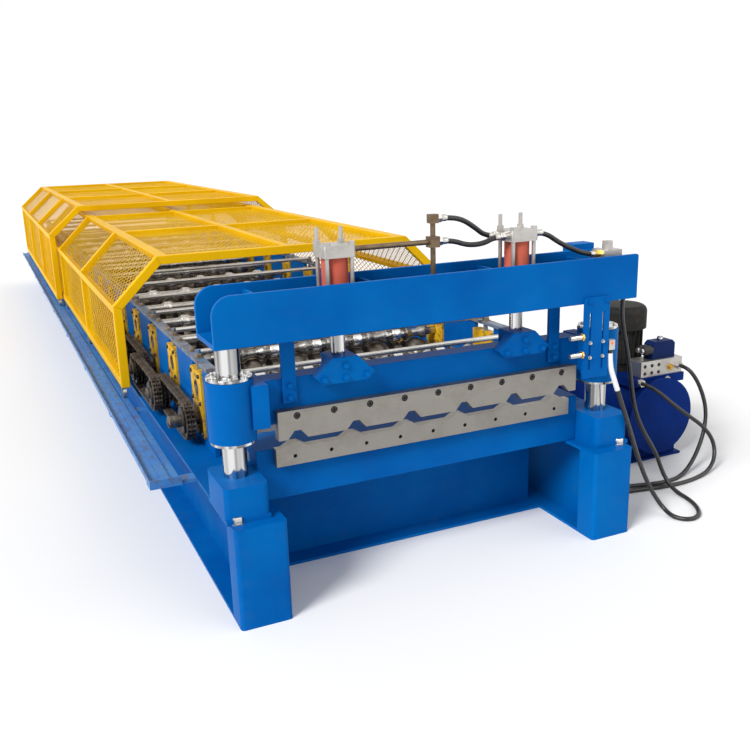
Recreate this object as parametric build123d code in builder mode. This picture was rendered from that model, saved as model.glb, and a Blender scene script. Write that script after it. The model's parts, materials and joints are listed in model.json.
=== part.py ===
import math
import os
from build123d import *

os.makedirs("parts", exist_ok=True)

# Roll forming machine for ribbed roof sheet, in millimetres.
# The origin is on the floor under the middle of the front cross beam.
# +X is the side of the oil tank, +Y runs back along the line of rolls, +Z is up.

# base frame of wide flange beams
beam_height = 350
beam_width = 175
beam_web = 7
beam_flange = 11
side_beam_x = 691
frame_front_y = -436
frame_length = 8100
end_block_length = 96
end_block_corner = 15
cross_beam_count = 5
cross_beam_pitch = 1850

# columns of the cutter
column_x = side_beam_x + 27
column_y = -274
column_radius = 40
base_width = 146
base_depth = 232
base_pad_height = 15
base_block_height = 105
base_corner = 20
base_inset = 4
beam_underside = beam_height + 568

# lower die
bed_half_length = column_x - 75
bed_depth = 180
bed_top = beam_height + 180
blade_half_length = bed_half_length - 60
lower_blade_bottom = beam_height + 123
sheet_level = beam_height + 185
lower_blade_thickness = 30
rib_count = 6
rib_base = 85
blade_margin = 23
rib_pitch = (blade_half_length - blade_margin - rib_base / 2) / ((rib_count - 1) / 2)
rib_top = 25
rib_height = 18

# upper die, its guides and its stroke
head_stroke = 60
blade_gap = 5
upper_blade_thickness = 35
upper_blade_bottom = beam_height + 227
upper_blade_height = 97
notch_base = 70
notch_top = 22
notch_height = 28
die_beam_half_length = bed_half_length - 30
die_beam_depth = 80
die_beam_bottom = beam_height + 275
die_beam_top = beam_height + 425
sleeve_radius = 77
sleeve_bottom = beam_height + 245
sleeve_top = beam_height + 445
sleeve_clearance = 0.6
sleeve_ring_height = 10
sleeve_ring_radius = 74
arm_width = 54
arm_front_y = -348
arm_depth = 148
arm_bottom = beam_height + 285
arm_top = beam_height + 428
bracket_x = 346
bracket_bottom = beam_height + 394
bracket_top = beam_height + 480
bracket_bottom_width = 210
bracket_top_width = 90
bracket_corner = 26
bracket_front_thickness = 45
bracket_seat_depth = 60
strap_width = 48
strap_thickness = 12
strap_bottom = beam_height + 343
strap_left_x = 53 - blade_half_length
strap_right_x = blade_half_length - 87
strap_gap = 6

# top beam, an open channel with its legs up
beam_half_length = column_x + 70
beam_plate = 16
beam_leg_height = 161
beam_leg_corner = 62
beam_right_corner = 8
beam_front_y = -402
beam_depth = 224
beam_rib_thickness = 12
beam_rib_inset = 19
beam_rib_xs = (91 - column_x, -226, 239, column_x - 91)

# hydraulic cylinders
cap_side = 108
cap_height = 38
cap_corner = 10
barrel_length = 178
barrel_radius = 44
barrel_bore = 36
rod_radius = 24
rod_clearance = 0.6
piston_height = 30
piston_drop = 8
tie_rod_radius = 7
tie_rod_offset = 42
tie_nut_height = 12
tie_nut_radius = 13
long_stud_height = 52
port_radius = 11
port_length = 14

# fittings at the right end of the top beam
limit_box_x = column_x - 3
limit_box_width = 96
limit_box_depth = 68
limit_box_bottom = beam_height + 650
limit_box_top = beam_height + 750
manifold_x = column_x - 6
manifold_y = -318
manifold_width = 80
manifold_depth = 70
manifold_height = 160
manifold_plug_radius = 20
manifold_plug_height = 30

# proximity sensors and the slotted strip that carries them
sensor_strip_x = column_x - 114
sensor_strip_width = 110
sensor_strip_thickness = 10
sensor_strip_bottom = beam_height + 294
sensor_strip_top = beam_height + 591
sensor_strip_corner = 16
sensor_slot_width = 9
sensor_slot_length = 100
sensor_slot_spacing = 56
sensor_levels = (beam_height + 450, beam_height + 385)
sensor_radius = 9
sensor_length = 58
sensor_nut_radius = 14
sensor_nut_width = 9

# roll stands
station_count = 16
open_station_count = 2
station_pitch = 455
first_station_y = 427
wall_outer_x = side_beam_x - 27
wall_thickness = 20
wall_height = 335
wall_end_margin = 195
slot_floor = 38
block_width = 160
block_thickness = 40
block_height = 267
block_side_clearance = 0.3
block_corner = 6
clamp_bar_height = 15
clamp_bar_width = 40
screw_flats = 18
screw_above_bar = 33
stay_rod_radius = 11
guide_bar_level = beam_height + 315
guide_bar_inset = 15
stay_rod_level = beam_height + 372

# rolls, shafts and drive
lower_shaft_level = beam_height + 105
roll_half_length = wall_outer_x - 64
lower_roll_radius = 80
roll_gap = 5
upper_roll_radius = 33
roll_rib_height = 14
roll_rim = 8
roll_collar = 40
lower_barrel_radius = 52
rear_lower_radius = 58
rear_upper_radius = 29
roll_rib_clearance = 3
lower_journal_radius = 25
upper_journal_radius = 19
journal_clearance = 0.8
drive_end_x = wall_outer_x + 136
chain_inner_radius = 67
chain_thickness = 12
chain_width = 20
chain_plane_near_x = wall_outer_x + 56
chain_plane_far_x = wall_outer_x + 96
sprocket_width = 14
sprocket_teeth = 15
sprocket_tip_clearance = 0.3
sprocket_tooth_height = 12
sprocket_root_width = 17
sprocket_tip_width = 7
hub_half_width = 35

# covers of square tube and wire mesh that roll along the frame
tube = 40
mesh_thickness = 4
mesh_bar = 8
mesh_columns = 10
side_mesh_rows = 3
roof_mesh_rows = 4
slope_mesh_rows = 2
post_bottom = beam_height + 58
front_cover_half_width = side_beam_x + 167
front_cover_eave = beam_height + 446
front_cover_ridge_x = side_beam_x - 50
front_cover_ridge = beam_height + 660
front_cover_y = 1192
front_cover_bay = 1290
rear_cover_half_width = side_beam_x + 213
rear_cover_eave = beam_height + 535
rear_cover_ridge_x = side_beam_x - 5
rear_cover_ridge = beam_height + 728
rear_cover_y = 3905
rear_cover_bay = 1150
cover_bays = 3
wheel_radius = 24
wheel_width = 16
wheel_clearance = 0.3
fork_cheek = 4
fork_height = 34
fork_length = 34

# rails that the covers roll on
rail_front_y = 60
rail_length = 7560
rail_outer_x = side_beam_x + 255
rail_inner_x = side_beam_x + 141
rail_sheet = 3
rail_strip_height = 6
rail_lip_height = 18
inner_strip_x = side_beam_x + 155
inner_strip_width = 20
outer_strip_x = side_beam_x + 193
outer_strip_width = 33
rail_bracket_width = 60
rail_bracket_height = 12
rail_bracket_pitch = 930
rail_bracket_count = 9
rail_cap_thickness = 8

# oil tank, pump motor and valves
tank_x = side_beam_x + 699
tank_front_y = 82
tank_length = 620
tank_radius = 175
tank_level = 225
tank_rim_height = 6
tank_rim_width = 10
saddle_half_width = 150
saddle_thickness = 50
saddle_inset = 60
saddle_foot_height = 12
saddle_foot_overhang = 20
deck_half_width = 150
deck_front_y = 110
deck_length = 440
deck_top = 412
deck_height = 40
motor_x = tank_x - 54
motor_y = 330
motor_bell_radius = 90
motor_bell_height = 40
motor_body_radius = 98
motor_body_height = 160
motor_cowl_radius = 120
motor_cowl_height = 108
motor_cowl_corner = 30
motor_box_size = 80
motor_fin_count = 20
motor_fin_width = 5
motor_fin_reach = 8
valve_block_x = tank_x + 20
valve_block_y = 162
valve_block_width = 240
valve_block_depth = 90
valve_block_height = 74
control_valve_x = tank_x + 40
control_valve_width = 130
control_valve_depth = 60
control_valve_height = 82
valve_knob_radius = 12
valve_knob_length = 16

# pressure lines
hose_radius = 9
pipe_radius = 9
tee_x = 12
tee_size = 36
tee_level = 1144
riser_top = beam_height + 896
elbow_size = 30
fitting_flats = 30
fitting_length = 25
web_port_ys = (-92, -140)
web_port_level = 60
valve_port_x = tank_x + 110
valve_port_level = deck_top + 38
deck_port_x = tank_x - 114
deck_port_level = deck_top - 16
gland_width = 26
gland_depth = 20
gland_height = 36
gland_bottom = beam_height + 390


# planes that face along the machine and across it
def facing_front(y):
    return Plane.XZ.offset(-y)


def facing_right(x):
    return Plane.YZ.offset(x)


# sizes that follow from those above
flange_inner_x = side_beam_x - beam_width / 2
flange_outer_x = side_beam_x + beam_width / 2
cross_beam_ys = [number * cross_beam_pitch for number in range(cross_beam_count)]
rib_xs = [(number - (rib_count - 1) / 2) * rib_pitch for number in range(rib_count)]
base_top = beam_height + base_pad_height + base_block_height
lower_blade_front_y = column_y - 14
bed_front_y = lower_blade_front_y + lower_blade_thickness
upper_blade_back_y = lower_blade_front_y - blade_gap
upper_blade_front_y = upper_blade_back_y - upper_blade_thickness
station_ys = [first_station_y + number * station_pitch for number in range(station_count)]
upper_shaft_level = lower_shaft_level + lower_roll_radius + roll_gap + upper_roll_radius
beam_back_y = beam_front_y + beam_depth
beam_floor_top = beam_underside + beam_plate
cylinder_y = column_y - 4
cap_top = beam_floor_top + cap_height + barrel_length + cap_height


# Base frame. The two long beams stand on the floor and carry everything.
with BuildPart() as side_beams:
    with BuildSketch(facing_front(frame_front_y)):
        with Locations((-side_beam_x, beam_height / 2), (side_beam_x, beam_height / 2)):
            Rectangle(beam_width, beam_height)
        recess_width = (beam_width - beam_web) / 2
        recess_offset = (beam_web + recess_width) / 2
        recess_xs = [side * side_beam_x + half * recess_offset for side in (-1, 1) for half in (-1, 1)]
        with Locations([(x, beam_height / 2) for x in recess_xs]):
            Rectangle(recess_width, beam_height - 2 * beam_flange, mode=Mode.SUBTRACT)
    extrude(amount=-frame_length)
    with BuildSketch(Plane.XY) as end_blocks:
        with Locations([(side * side_beam_x, frame_front_y + end_block_length / 2) for side in (-1, 1)]):
            Rectangle(beam_width, end_block_length)
        fillet(end_blocks.vertices().group_by(Axis.Y)[0], end_block_corner)
    extrude(amount=beam_height)
    with BuildSketch(Plane.XY) as cut_corners:
        with Locations([(side * side_beam_x, frame_front_y + end_block_corner / 2) for side in (-1, 1)]):
            Rectangle(beam_width, end_block_corner)
        with Locations([(side * side_beam_x, frame_front_y + end_block_length / 2) for side in (-1, 1)]):
            RectangleRounded(beam_width, end_block_length, end_block_corner - 1, mode=Mode.SUBTRACT)
    extrude(amount=beam_height, mode=Mode.SUBTRACT)
side_beams.part.label = "side_beams"
export_step(side_beams.part, "parts/side_beams.step")

with BuildPart() as cross_beams:
    with BuildSketch(facing_right(-flange_inner_x)):
        with Locations([(y, beam_height / 2) for y in cross_beam_ys]):
            Rectangle(beam_width, beam_height)
        with Locations([(y + side * recess_offset, beam_height / 2) for y in cross_beam_ys for side in (-1, 1)]):
            Rectangle(recess_width, beam_height - 2 * beam_flange, mode=Mode.SUBTRACT)
    extrude(amount=2 * flange_inner_x)
cross_beams.part.label = "cross_beams"
export_step(cross_beams.part, "parts/cross_beams.step")

# Cutter frame: two stepped blocks, two ground columns and the lower die.
base_x = bed_half_length + base_width / 2
base_y = column_y
with BuildPart() as column_bases:
    with BuildSketch(Plane.XY.offset(beam_height)):
        with Locations((-base_x, base_y), (base_x, base_y)):
            Rectangle(base_width, base_depth)
    extrude(amount=base_pad_height)
    with BuildSketch(Plane.XY.offset(beam_height + base_pad_height)):
        with Locations((-base_x, base_y), (base_x, base_y)):
            RectangleRounded(base_width, base_depth - 2 * base_inset, base_corner)
    extrude(amount=base_block_height)
column_bases.part.label = "column_bases"
export_step(column_bases.part, "parts/column_bases.step")

with BuildPart() as guide_columns:
    with BuildSketch(Plane.XY.offset(base_top)):
        with Locations((-column_x, column_y), (column_x, column_y)):
            Circle(column_radius)
    extrude(amount=beam_underside - base_top)
guide_columns.part.label = "guide_columns"
export_step(guide_columns.part, "parts/guide_columns.step")

with BuildPart() as bed_beam:
    with BuildSketch(facing_right(-bed_half_length)) as bed_profile:
        with BuildLine():
            Polyline(
                (bed_front_y, beam_height),
                (bed_front_y, bed_top),
                (bed_front_y + bed_depth, bed_top),
                (bed_front_y + bed_depth, bed_top - 2 * beam_plate),
                (bed_front_y + bed_depth / 2, bed_top - 2 * beam_plate),
                (bed_front_y + bed_depth / 2, beam_height + beam_plate),
                (bed_front_y + bed_depth, beam_height + beam_plate),
                (bed_front_y + bed_depth, beam_height),
                close=True,
            )
        make_face()
    extrude(amount=2 * bed_half_length)
bed_beam.part.label = "bed_beam"
export_step(bed_beam.part, "parts/bed_beam.step")


# One wave of a blade's edge, as the points from its left foot to its right foot.
def wave(centre, level, base, top, height):
    return [
        (centre - base / 2, level),
        (centre - top / 2, level + height),
        (centre + top / 2, level + height),
        (centre + base / 2, level),
    ]


lower_edge = [point for x in rib_xs for point in wave(x, sheet_level, rib_base, rib_top, rib_height)]
with BuildPart() as lower_blade:
    with BuildSketch(facing_front(lower_blade_front_y)):
        with BuildLine():
            Polyline(
                (-blade_half_length, lower_blade_bottom),
                (-blade_half_length, sheet_level),
                *lower_edge,
                (blade_half_length, sheet_level),
                (blade_half_length, lower_blade_bottom),
                close=True,
            )
        make_face()
    extrude(amount=-lower_blade_thickness)
lower_blade.part.label = "lower_blade"
export_step(lower_blade.part, "parts/lower_blade.step")

# Cutter head: everything here moves up and down on the columns.
upper_edge = [point for x in rib_xs for point in wave(x, upper_blade_bottom, notch_base, notch_top, notch_height)]
with BuildPart() as upper_blade:
    with BuildSketch(facing_front(upper_blade_front_y)):
        with BuildLine():
            Polyline(
                (-blade_half_length, upper_blade_bottom + upper_blade_height),
                (-blade_half_length, upper_blade_bottom),
                *upper_edge,
                (blade_half_length, upper_blade_bottom),
                (blade_half_length, upper_blade_bottom + upper_blade_height),
                close=True,
            )
        make_face()
    extrude(amount=-upper_blade_thickness)
upper_blade.part.label = "upper_blade"
export_step(upper_blade.part, "parts/upper_blade.step")

with BuildPart() as die_beam:
    with BuildSketch(facing_right(-die_beam_half_length)):
        with BuildLine():
            Polyline(
                (upper_blade_back_y, die_beam_bottom),
                (upper_blade_back_y, die_beam_top),
                (upper_blade_back_y + die_beam_depth, die_beam_top),
                (upper_blade_back_y + die_beam_depth, die_beam_top - beam_plate),
                (upper_blade_back_y + die_beam_depth / 2, die_beam_top - 2 * beam_plate),
                (upper_blade_back_y + die_beam_depth / 2, die_beam_bottom),
                close=True,
            )
        make_face()
    extrude(amount=2 * die_beam_half_length)
die_beam.part.label = "die_beam"
export_step(die_beam.part, "parts/die_beam.step")

arm_x = die_beam_half_length + arm_width / 2
with BuildPart() as guide_sleeves:
    with BuildSketch(Plane.XY.offset(sleeve_bottom)):
        with Locations((-column_x, column_y), (column_x, column_y)):
            Circle(sleeve_radius)
    extrude(amount=sleeve_top - sleeve_bottom)
    with BuildSketch(Plane.XY.offset(arm_bottom)):
        with Locations((-arm_x, arm_front_y + arm_depth / 2), (arm_x, arm_front_y + arm_depth / 2)):
            Rectangle(arm_width, arm_depth)
    extrude(amount=arm_top - arm_bottom)
    with BuildSketch(Plane.XY.offset(sleeve_bottom)):
        with Locations((-column_x, column_y), (column_x, column_y)):
            Circle(column_radius + sleeve_clearance)
    extrude(amount=sleeve_top - sleeve_bottom, mode=Mode.SUBTRACT)
guide_sleeves.part.label = "guide_sleeves"
export_step(guide_sleeves.part, "parts/guide_sleeves.step")

with BuildPart() as sleeve_rings:
    for ring_bottom in (sleeve_bottom - sleeve_ring_height, sleeve_top):
        with BuildSketch(Plane.XY.offset(ring_bottom)):
            with Locations((-column_x, column_y), (column_x, column_y)):
                Circle(sleeve_ring_radius)
                Circle(column_radius + sleeve_clearance, mode=Mode.SUBTRACT)
        extrude(amount=sleeve_ring_height)
sleeve_rings.part.label = "sleeve_rings"
export_step(sleeve_rings.part, "parts/sleeve_rings.step")

with BuildPart() as rod_brackets:
    with BuildSketch(facing_front(upper_blade_back_y - bracket_front_thickness)):
        for x in (-bracket_x, bracket_x):
            with BuildLine():
                Polyline(
                    (x - bracket_bottom_width / 2 + bracket_corner, bracket_bottom),
                    (x + bracket_bottom_width / 2 - bracket_corner, bracket_bottom),
                    (x + bracket_bottom_width / 2, bracket_bottom + bracket_corner),
                    (x + bracket_top_width / 2, bracket_top),
                    (x - bracket_top_width / 2, bracket_top),
                    (x - bracket_bottom_width / 2, bracket_bottom + bracket_corner),
                    close=True,
                )
            make_face()
    extrude(amount=-bracket_front_thickness)
    with BuildSketch(Plane.XY.offset(die_beam_top)):
        with Locations([(x, upper_blade_back_y + bracket_seat_depth / 2) for x in (-bracket_x, bracket_x)]):
            Rectangle(bracket_top_width, bracket_seat_depth)
    extrude(amount=bracket_top - die_beam_top)
rod_brackets.part.label = "rod_brackets"
export_step(rod_brackets.part, "parts/rod_brackets.step")

# The piston stands near the top of its barrel while the head is up.
piston_top = cap_top - cap_height - piston_drop
with BuildPart() as piston_rods:
    with BuildSketch(Plane.XY.offset(bracket_top)):
        with Locations((-bracket_x, cylinder_y), (bracket_x, cylinder_y)):
            Circle(rod_radius)
    extrude(amount=piston_top - bracket_top)
    with BuildSketch(Plane.XY.offset(piston_top - piston_height)):
        with Locations((-bracket_x, cylinder_y), (bracket_x, cylinder_y)):
            Circle(barrel_bore - rod_clearance)
    extrude(amount=piston_height)
piston_rods.part.label = "piston_rods"
export_step(piston_rods.part, "parts/piston_rods.step")

with BuildPart() as head_straps:
    with BuildSketch(facing_front(upper_blade_back_y - strap_thickness)):
        strap_height = beam_underside - strap_gap - strap_bottom
        with Locations([(x, strap_bottom + strap_height / 2) for x in (strap_left_x, strap_right_x)]):
            Rectangle(strap_width, strap_height)
    extrude(amount=-strap_thickness)
head_straps.part.label = "head_straps"
export_step(head_straps.part, "parts/head_straps.step")

# Top beam: a channel of plates, open upwards, with the cylinders standing in it.
for leg_name, leg_y in (
    ("top_beam_front_plate", beam_front_y),
    ("top_beam_rear_plate", beam_back_y - beam_plate),
):
    with BuildPart() as leg:
        with BuildSketch(facing_front(leg_y)) as leg_outline:
            with Locations((0, beam_underside + beam_leg_height / 2)):
                Rectangle(2 * beam_half_length, beam_leg_height)
            top_corners = leg_outline.vertices().group_by(Axis.Y)[-1].sort_by(Axis.X)
            fillet(top_corners[0], beam_leg_corner)
            top_corners = leg_outline.vertices().group_by(Axis.Y)[-1].sort_by(Axis.X)
            fillet(top_corners[-1], beam_right_corner)
        extrude(amount=-beam_plate)
    leg.part.label = leg_name
    export_step(leg.part, f"parts/{leg_name}.step")

channel_y = (beam_front_y + beam_back_y) / 2
channel_width = beam_depth - 2 * beam_plate
with BuildPart() as top_beam_floor:
    with BuildSketch(Plane.XY.offset(beam_underside)):
        with Locations((0, channel_y)):
            Rectangle(2 * beam_half_length, channel_width)
        with Locations((-bracket_x, cylinder_y), (bracket_x, cylinder_y)):
            Circle(rod_radius + rod_clearance, mode=Mode.SUBTRACT)
    extrude(amount=beam_plate)
    with BuildSketch(Plane.XY.offset(beam_floor_top)):
        with Locations([(x, channel_y) for x in beam_rib_xs]):
            Rectangle(beam_rib_thickness, channel_width)
    extrude(amount=beam_leg_height - beam_plate - beam_rib_inset)
top_beam_floor.part.label = "top_beam_floor"
export_step(top_beam_floor.part, "parts/top_beam_floor.step")

cylinder_places = [(-bracket_x, cylinder_y), (bracket_x, cylinder_y)]
tie_rod_places = [
    (x + across * tie_rod_offset, cylinder_y + along * tie_rod_offset)
    for x in (-bracket_x, bracket_x)
    for across in (-1, 1)
    for along in (-1, 1)
]
with BuildPart() as cylinder_heads:
    for cap_bottom in (beam_floor_top, cap_top - cap_height):
        with BuildSketch(Plane.XY.offset(cap_bottom)):
            with Locations(cylinder_places):
                RectangleRounded(cap_side, cap_side, cap_corner)
        extrude(amount=cap_height)
    with BuildSketch(Plane.XY.offset(beam_floor_top)):
        with Locations(cylinder_places):
            Circle(rod_radius + rod_clearance)
    extrude(amount=cap_height, mode=Mode.SUBTRACT)
    with BuildSketch(Plane.XY.offset(beam_floor_top)):
        with Locations(tie_rod_places):
            Circle(tie_rod_radius)
    extrude(amount=cap_top + tie_nut_height - beam_floor_top)
    with BuildSketch(Plane.XY.offset(cap_top)):
        with Locations(tie_rod_places):
            RegularPolygon(tie_nut_radius, 6)
    extrude(amount=tie_nut_height)
    with BuildSketch(Plane.XY.offset(cap_top)):
        with Locations([place for place in tie_rod_places if place[1] > cylinder_y]):
            Circle(tie_rod_radius)
    extrude(amount=long_stud_height)
    port_level = cap_top - cap_height / 2
    port_places = [
        (-bracket_x + cap_side / 2, cylinder_y),
        (bracket_x - cap_side / 2 - port_length, cylinder_y + 2 * port_radius),
        (bracket_x - cap_side / 2 - port_length, cylinder_y - 2 * port_radius),
        (bracket_x + cap_side / 2, cylinder_y),
    ]
    for x, y in port_places:
        with BuildSketch(facing_right(x)):
            with Locations((y, port_level)):
                Circle(port_radius)
        extrude(amount=port_length)
cylinder_heads.part.label = "cylinder_heads"
export_step(cylinder_heads.part, "parts/cylinder_heads.step")

with BuildPart() as cylinder_barrels:
    with BuildSketch(Plane.XY.offset(beam_floor_top + cap_height)):
        with Locations(cylinder_places):
            Circle(barrel_radius)
            Circle(barrel_bore, mode=Mode.SUBTRACT)
    extrude(amount=barrel_length)
cylinder_barrels.part.label = "cylinder_barrels"
export_step(cylinder_barrels.part, "parts/cylinder_barrels.step")

with BuildPart() as limit_box:
    with BuildSketch(Plane.XY.offset(limit_box_bottom)):
        with Locations((limit_box_x, beam_back_y + limit_box_depth / 2)):
            Rectangle(limit_box_width, limit_box_depth)
    extrude(amount=limit_box_top - limit_box_bottom)
    fillet(limit_box.faces().sort_by(Axis.Z)[-1].edges(), 3)
limit_box.part.label = "limit_box"
export_step(limit_box.part, "parts/limit_box.step")

manifold_top = beam_floor_top + manifold_height
with BuildPart() as hose_manifold:
    with BuildSketch(Plane.XY.offset(beam_floor_top)):
        with Locations((manifold_x, manifold_y)):
            Rectangle(manifold_width, manifold_depth)
    extrude(amount=manifold_height)
    with BuildSketch(Plane.XY.offset(manifold_top)):
        with Locations((manifold_x, manifold_y)):
            RegularPolygon(manifold_plug_radius, 6)
    extrude(amount=manifold_plug_height)
hose_manifold.part.label = "hose_manifold"
export_step(hose_manifold.part, "parts/hose_manifold.step")

strip_front_y = beam_front_y - sensor_strip_thickness
with BuildPart() as sensor_strip:
    with BuildSketch(facing_front(strip_front_y)) as strip_outline:
        strip_height = sensor_strip_top - sensor_strip_bottom
        with Locations((sensor_strip_x, sensor_strip_bottom + strip_height / 2)):
            Rectangle(sensor_strip_width, strip_height)
        fillet(strip_outline.vertices().group_by(Axis.Y)[-1], sensor_strip_corner)
        slot_xs = (sensor_strip_x - sensor_slot_spacing / 2, sensor_strip_x + sensor_slot_spacing / 2)
        slot_levels = (sensor_levels[-1] - sensor_radius, sensor_levels[0] + 4 * sensor_radius)
        with Locations([(x, level) for x in slot_xs for level in slot_levels]):
            Rectangle(sensor_slot_width, sensor_slot_length, mode=Mode.SUBTRACT)
    extrude(amount=-sensor_strip_thickness)
sensor_strip.part.label = "sensor_strip"
export_step(sensor_strip.part, "parts/sensor_strip.step")

sensor_end_x = sensor_strip_x - sensor_strip_width / 2
with BuildPart() as proximity_sensors:
    for level in sensor_levels:
        with BuildSketch(facing_right(sensor_end_x - sensor_length)):
            with Locations((strip_front_y + sensor_strip_thickness / 2, level)):
                Circle(sensor_radius)
        extrude(amount=sensor_length)
        with BuildSketch(facing_right(sensor_end_x - sensor_nut_width)):
            with Locations((strip_front_y + sensor_strip_thickness / 2, level)):
                RegularPolygon(sensor_nut_radius, 6)
        extrude(amount=sensor_nut_width)
proximity_sensors.part.label = "proximity_sensors"
export_step(proximity_sensors.part, "parts/proximity_sensors.step")

# Roll stands: two slotted walls, a bearing block in every slot, a bar over them.
wall_x = wall_outer_x - wall_thickness / 2
wall_top = beam_height + wall_height
block_bottom = beam_height + slot_floor
block_top = block_bottom + block_height
wall_front_y = station_ys[0] - wall_end_margin
wall_length = station_ys[-1] + wall_end_margin - wall_front_y
slot_width = block_width + 2 * block_side_clearance
with BuildPart() as stand_walls:
    for side in (-1, 1):
        with BuildSketch(facing_right(side * wall_x - wall_thickness / 2)):
            with Locations((wall_front_y + wall_length / 2, beam_height + wall_height / 2)):
                Rectangle(wall_length, wall_height)
            with Locations([(y, (block_bottom + wall_top) / 2) for y in station_ys]):
                Rectangle(slot_width, wall_top - block_bottom, mode=Mode.SUBTRACT)
        extrude(amount=wall_thickness)
stand_walls.part.label = "stand_walls"
export_step(stand_walls.part, "parts/stand_walls.step")

with BuildPart() as bearing_blocks:
    for side in (-1, 1):
        with BuildSketch(facing_right(side * wall_x - block_thickness / 2)):
            with Locations([(y, (block_bottom + block_top) / 2) for y in station_ys]):
                Rectangle(block_width, block_height)
            with Locations([(y, lower_shaft_level) for y in station_ys[:open_station_count]]):
                Circle(lower_journal_radius + journal_clearance, mode=Mode.SUBTRACT)
            with Locations([(y, upper_shaft_level) for y in station_ys[:open_station_count]]):
                Circle(upper_journal_radius + journal_clearance, mode=Mode.SUBTRACT)
        extrude(amount=block_thickness)
bearing_blocks.part.label = "bearing_blocks"
export_step(bearing_blocks.part, "parts/bearing_blocks.step")

with BuildPart() as clamp_bars:
    with BuildSketch(Plane.XY.offset(wall_top)):
        with Locations([(side * wall_x, wall_front_y + wall_length / 2) for side in (-1, 1)]):
            Rectangle(clamp_bar_width, wall_length)
    extrude(amount=clamp_bar_height)
    screw_top = wall_top + clamp_bar_height + screw_above_bar
    with BuildSketch(Plane.XY.offset(block_top)):
        with Locations([(side * wall_x, y) for side in (-1, 1) for y in station_ys]):
            RegularPolygon(screw_flats / 2, 6, major_radius=False, rotation=30)
    extrude(amount=screw_top - block_top)
clamp_bars.part.label = "clamp_bars"
export_step(clamp_bars.part, "parts/clamp_bars.step")

stay_half_length = wall_x - screw_flats / 2
with BuildPart() as stay_rods:
    with BuildSketch(facing_right(-stay_half_length)):
        with Locations([(y, stay_rod_level) for y in station_ys]):
            Circle(stay_rod_radius)
    extrude(amount=2 * stay_half_length)
    with BuildSketch(facing_right(wall_thickness - wall_outer_x)):
        with Locations((wall_front_y + guide_bar_inset, guide_bar_level)):
            Circle(stay_rod_radius)
    extrude(amount=2 * (wall_outer_x - wall_thickness))
stay_rods.part.label = "stay_rods"
export_step(stay_rods.part, "parts/stay_rods.step")


# Rolls. A profile is drawn as (distance along the shaft, radius) and turned about the shaft.
def station_plane(y, level):
    return Plane(origin=(0, y, level), x_dir=(1, 0, 0), z_dir=(0, 0, 1))


# A shaft with a ring under every rib of the sheet and a collar in every flat between two ribs.
def ribbed_profile(shaft, radius, height, foot, head):
    points = []
    for number, x in enumerate(rib_xs):
        rim = foot / 2 + roll_rim
        points += [(x - rim, shaft), (x - rim, radius), *wave(x, radius, foot, head, height), (x + rim, radius), (x + rim, shaft)]
        if number + 1 < rib_count:
            flat = x + rib_pitch / 2
            points += [(flat - roll_collar / 2, shaft), (flat - roll_collar / 2, radius)]
            points += [(flat + roll_collar / 2, radius), (flat + roll_collar / 2, shaft)]
    return points


block_outer_x = wall_x + block_thickness / 2
block_inner_x = wall_x - block_thickness / 2
sprocket_tip = chain_inner_radius - sprocket_tip_clearance
sprocket_root = sprocket_tip - sprocket_tooth_height
for number, y in enumerate(station_ys[:open_station_count], start=1):
    with BuildPart() as lower_rolls:
        with BuildSketch(station_plane(y, lower_shaft_level)):
            with BuildLine():
                Polyline(
                    (-drive_end_x, 0),
                    (-drive_end_x, lower_journal_radius),
                    (-roll_half_length, lower_journal_radius),
                    (-roll_half_length, lower_barrel_radius),
                    *ribbed_profile(lower_barrel_radius, lower_roll_radius, roll_rib_height, rib_base, rib_top),
                    (roll_half_length, lower_barrel_radius),
                    (roll_half_length, lower_journal_radius),
                    (block_outer_x, lower_journal_radius),
                    (block_outer_x, 0),
                    close=True,
                )
            make_face()
        revolve(axis=Axis((0, y, lower_shaft_level), (1, 0, 0)))
        for plane_x in (chain_plane_near_x, chain_plane_far_x):
            with BuildSketch(facing_right(-plane_x - sprocket_width / 2)):
                with Locations((y, lower_shaft_level)):
                    Circle(sprocket_root)
                    with PolarLocations(sprocket_root + sprocket_tooth_height / 2, sprocket_teeth):
                        with Locations(Rotation(0, 0, -90)):
                            Trapezoid(sprocket_root_width, sprocket_tooth_height + 2, 65)
                    Circle(sprocket_tip, mode=Mode.INTERSECT)
            extrude(amount=sprocket_width)
    lower_rolls.part.label = f"lower_rolls_{number}"
    export_step(lower_rolls.part, f"parts/lower_rolls_{number}.step")

    with BuildPart() as upper_rolls:
        with BuildSketch(station_plane(y, upper_shaft_level)):
            groove = upper_journal_radius - upper_roll_radius
            groove_foot = rib_base + 2 * roll_rib_clearance
            groove_head = rib_top + 2 * roll_rib_clearance
            with BuildLine():
                Polyline(
                    (-block_outer_x, 0),
                    (-block_outer_x, upper_journal_radius),
                    *ribbed_profile(upper_journal_radius, upper_roll_radius, groove, groove_foot, groove_head),
                    (block_outer_x, upper_journal_radius),
                    (block_outer_x, 0),
                    close=True,
                )
            make_face()
        revolve(axis=Axis((0, y, upper_shaft_level), (1, 0, 0)))
    upper_rolls.part.label = f"upper_rolls_{number}"
    export_step(upper_rolls.part, f"parts/upper_rolls_{number}.step")

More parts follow.
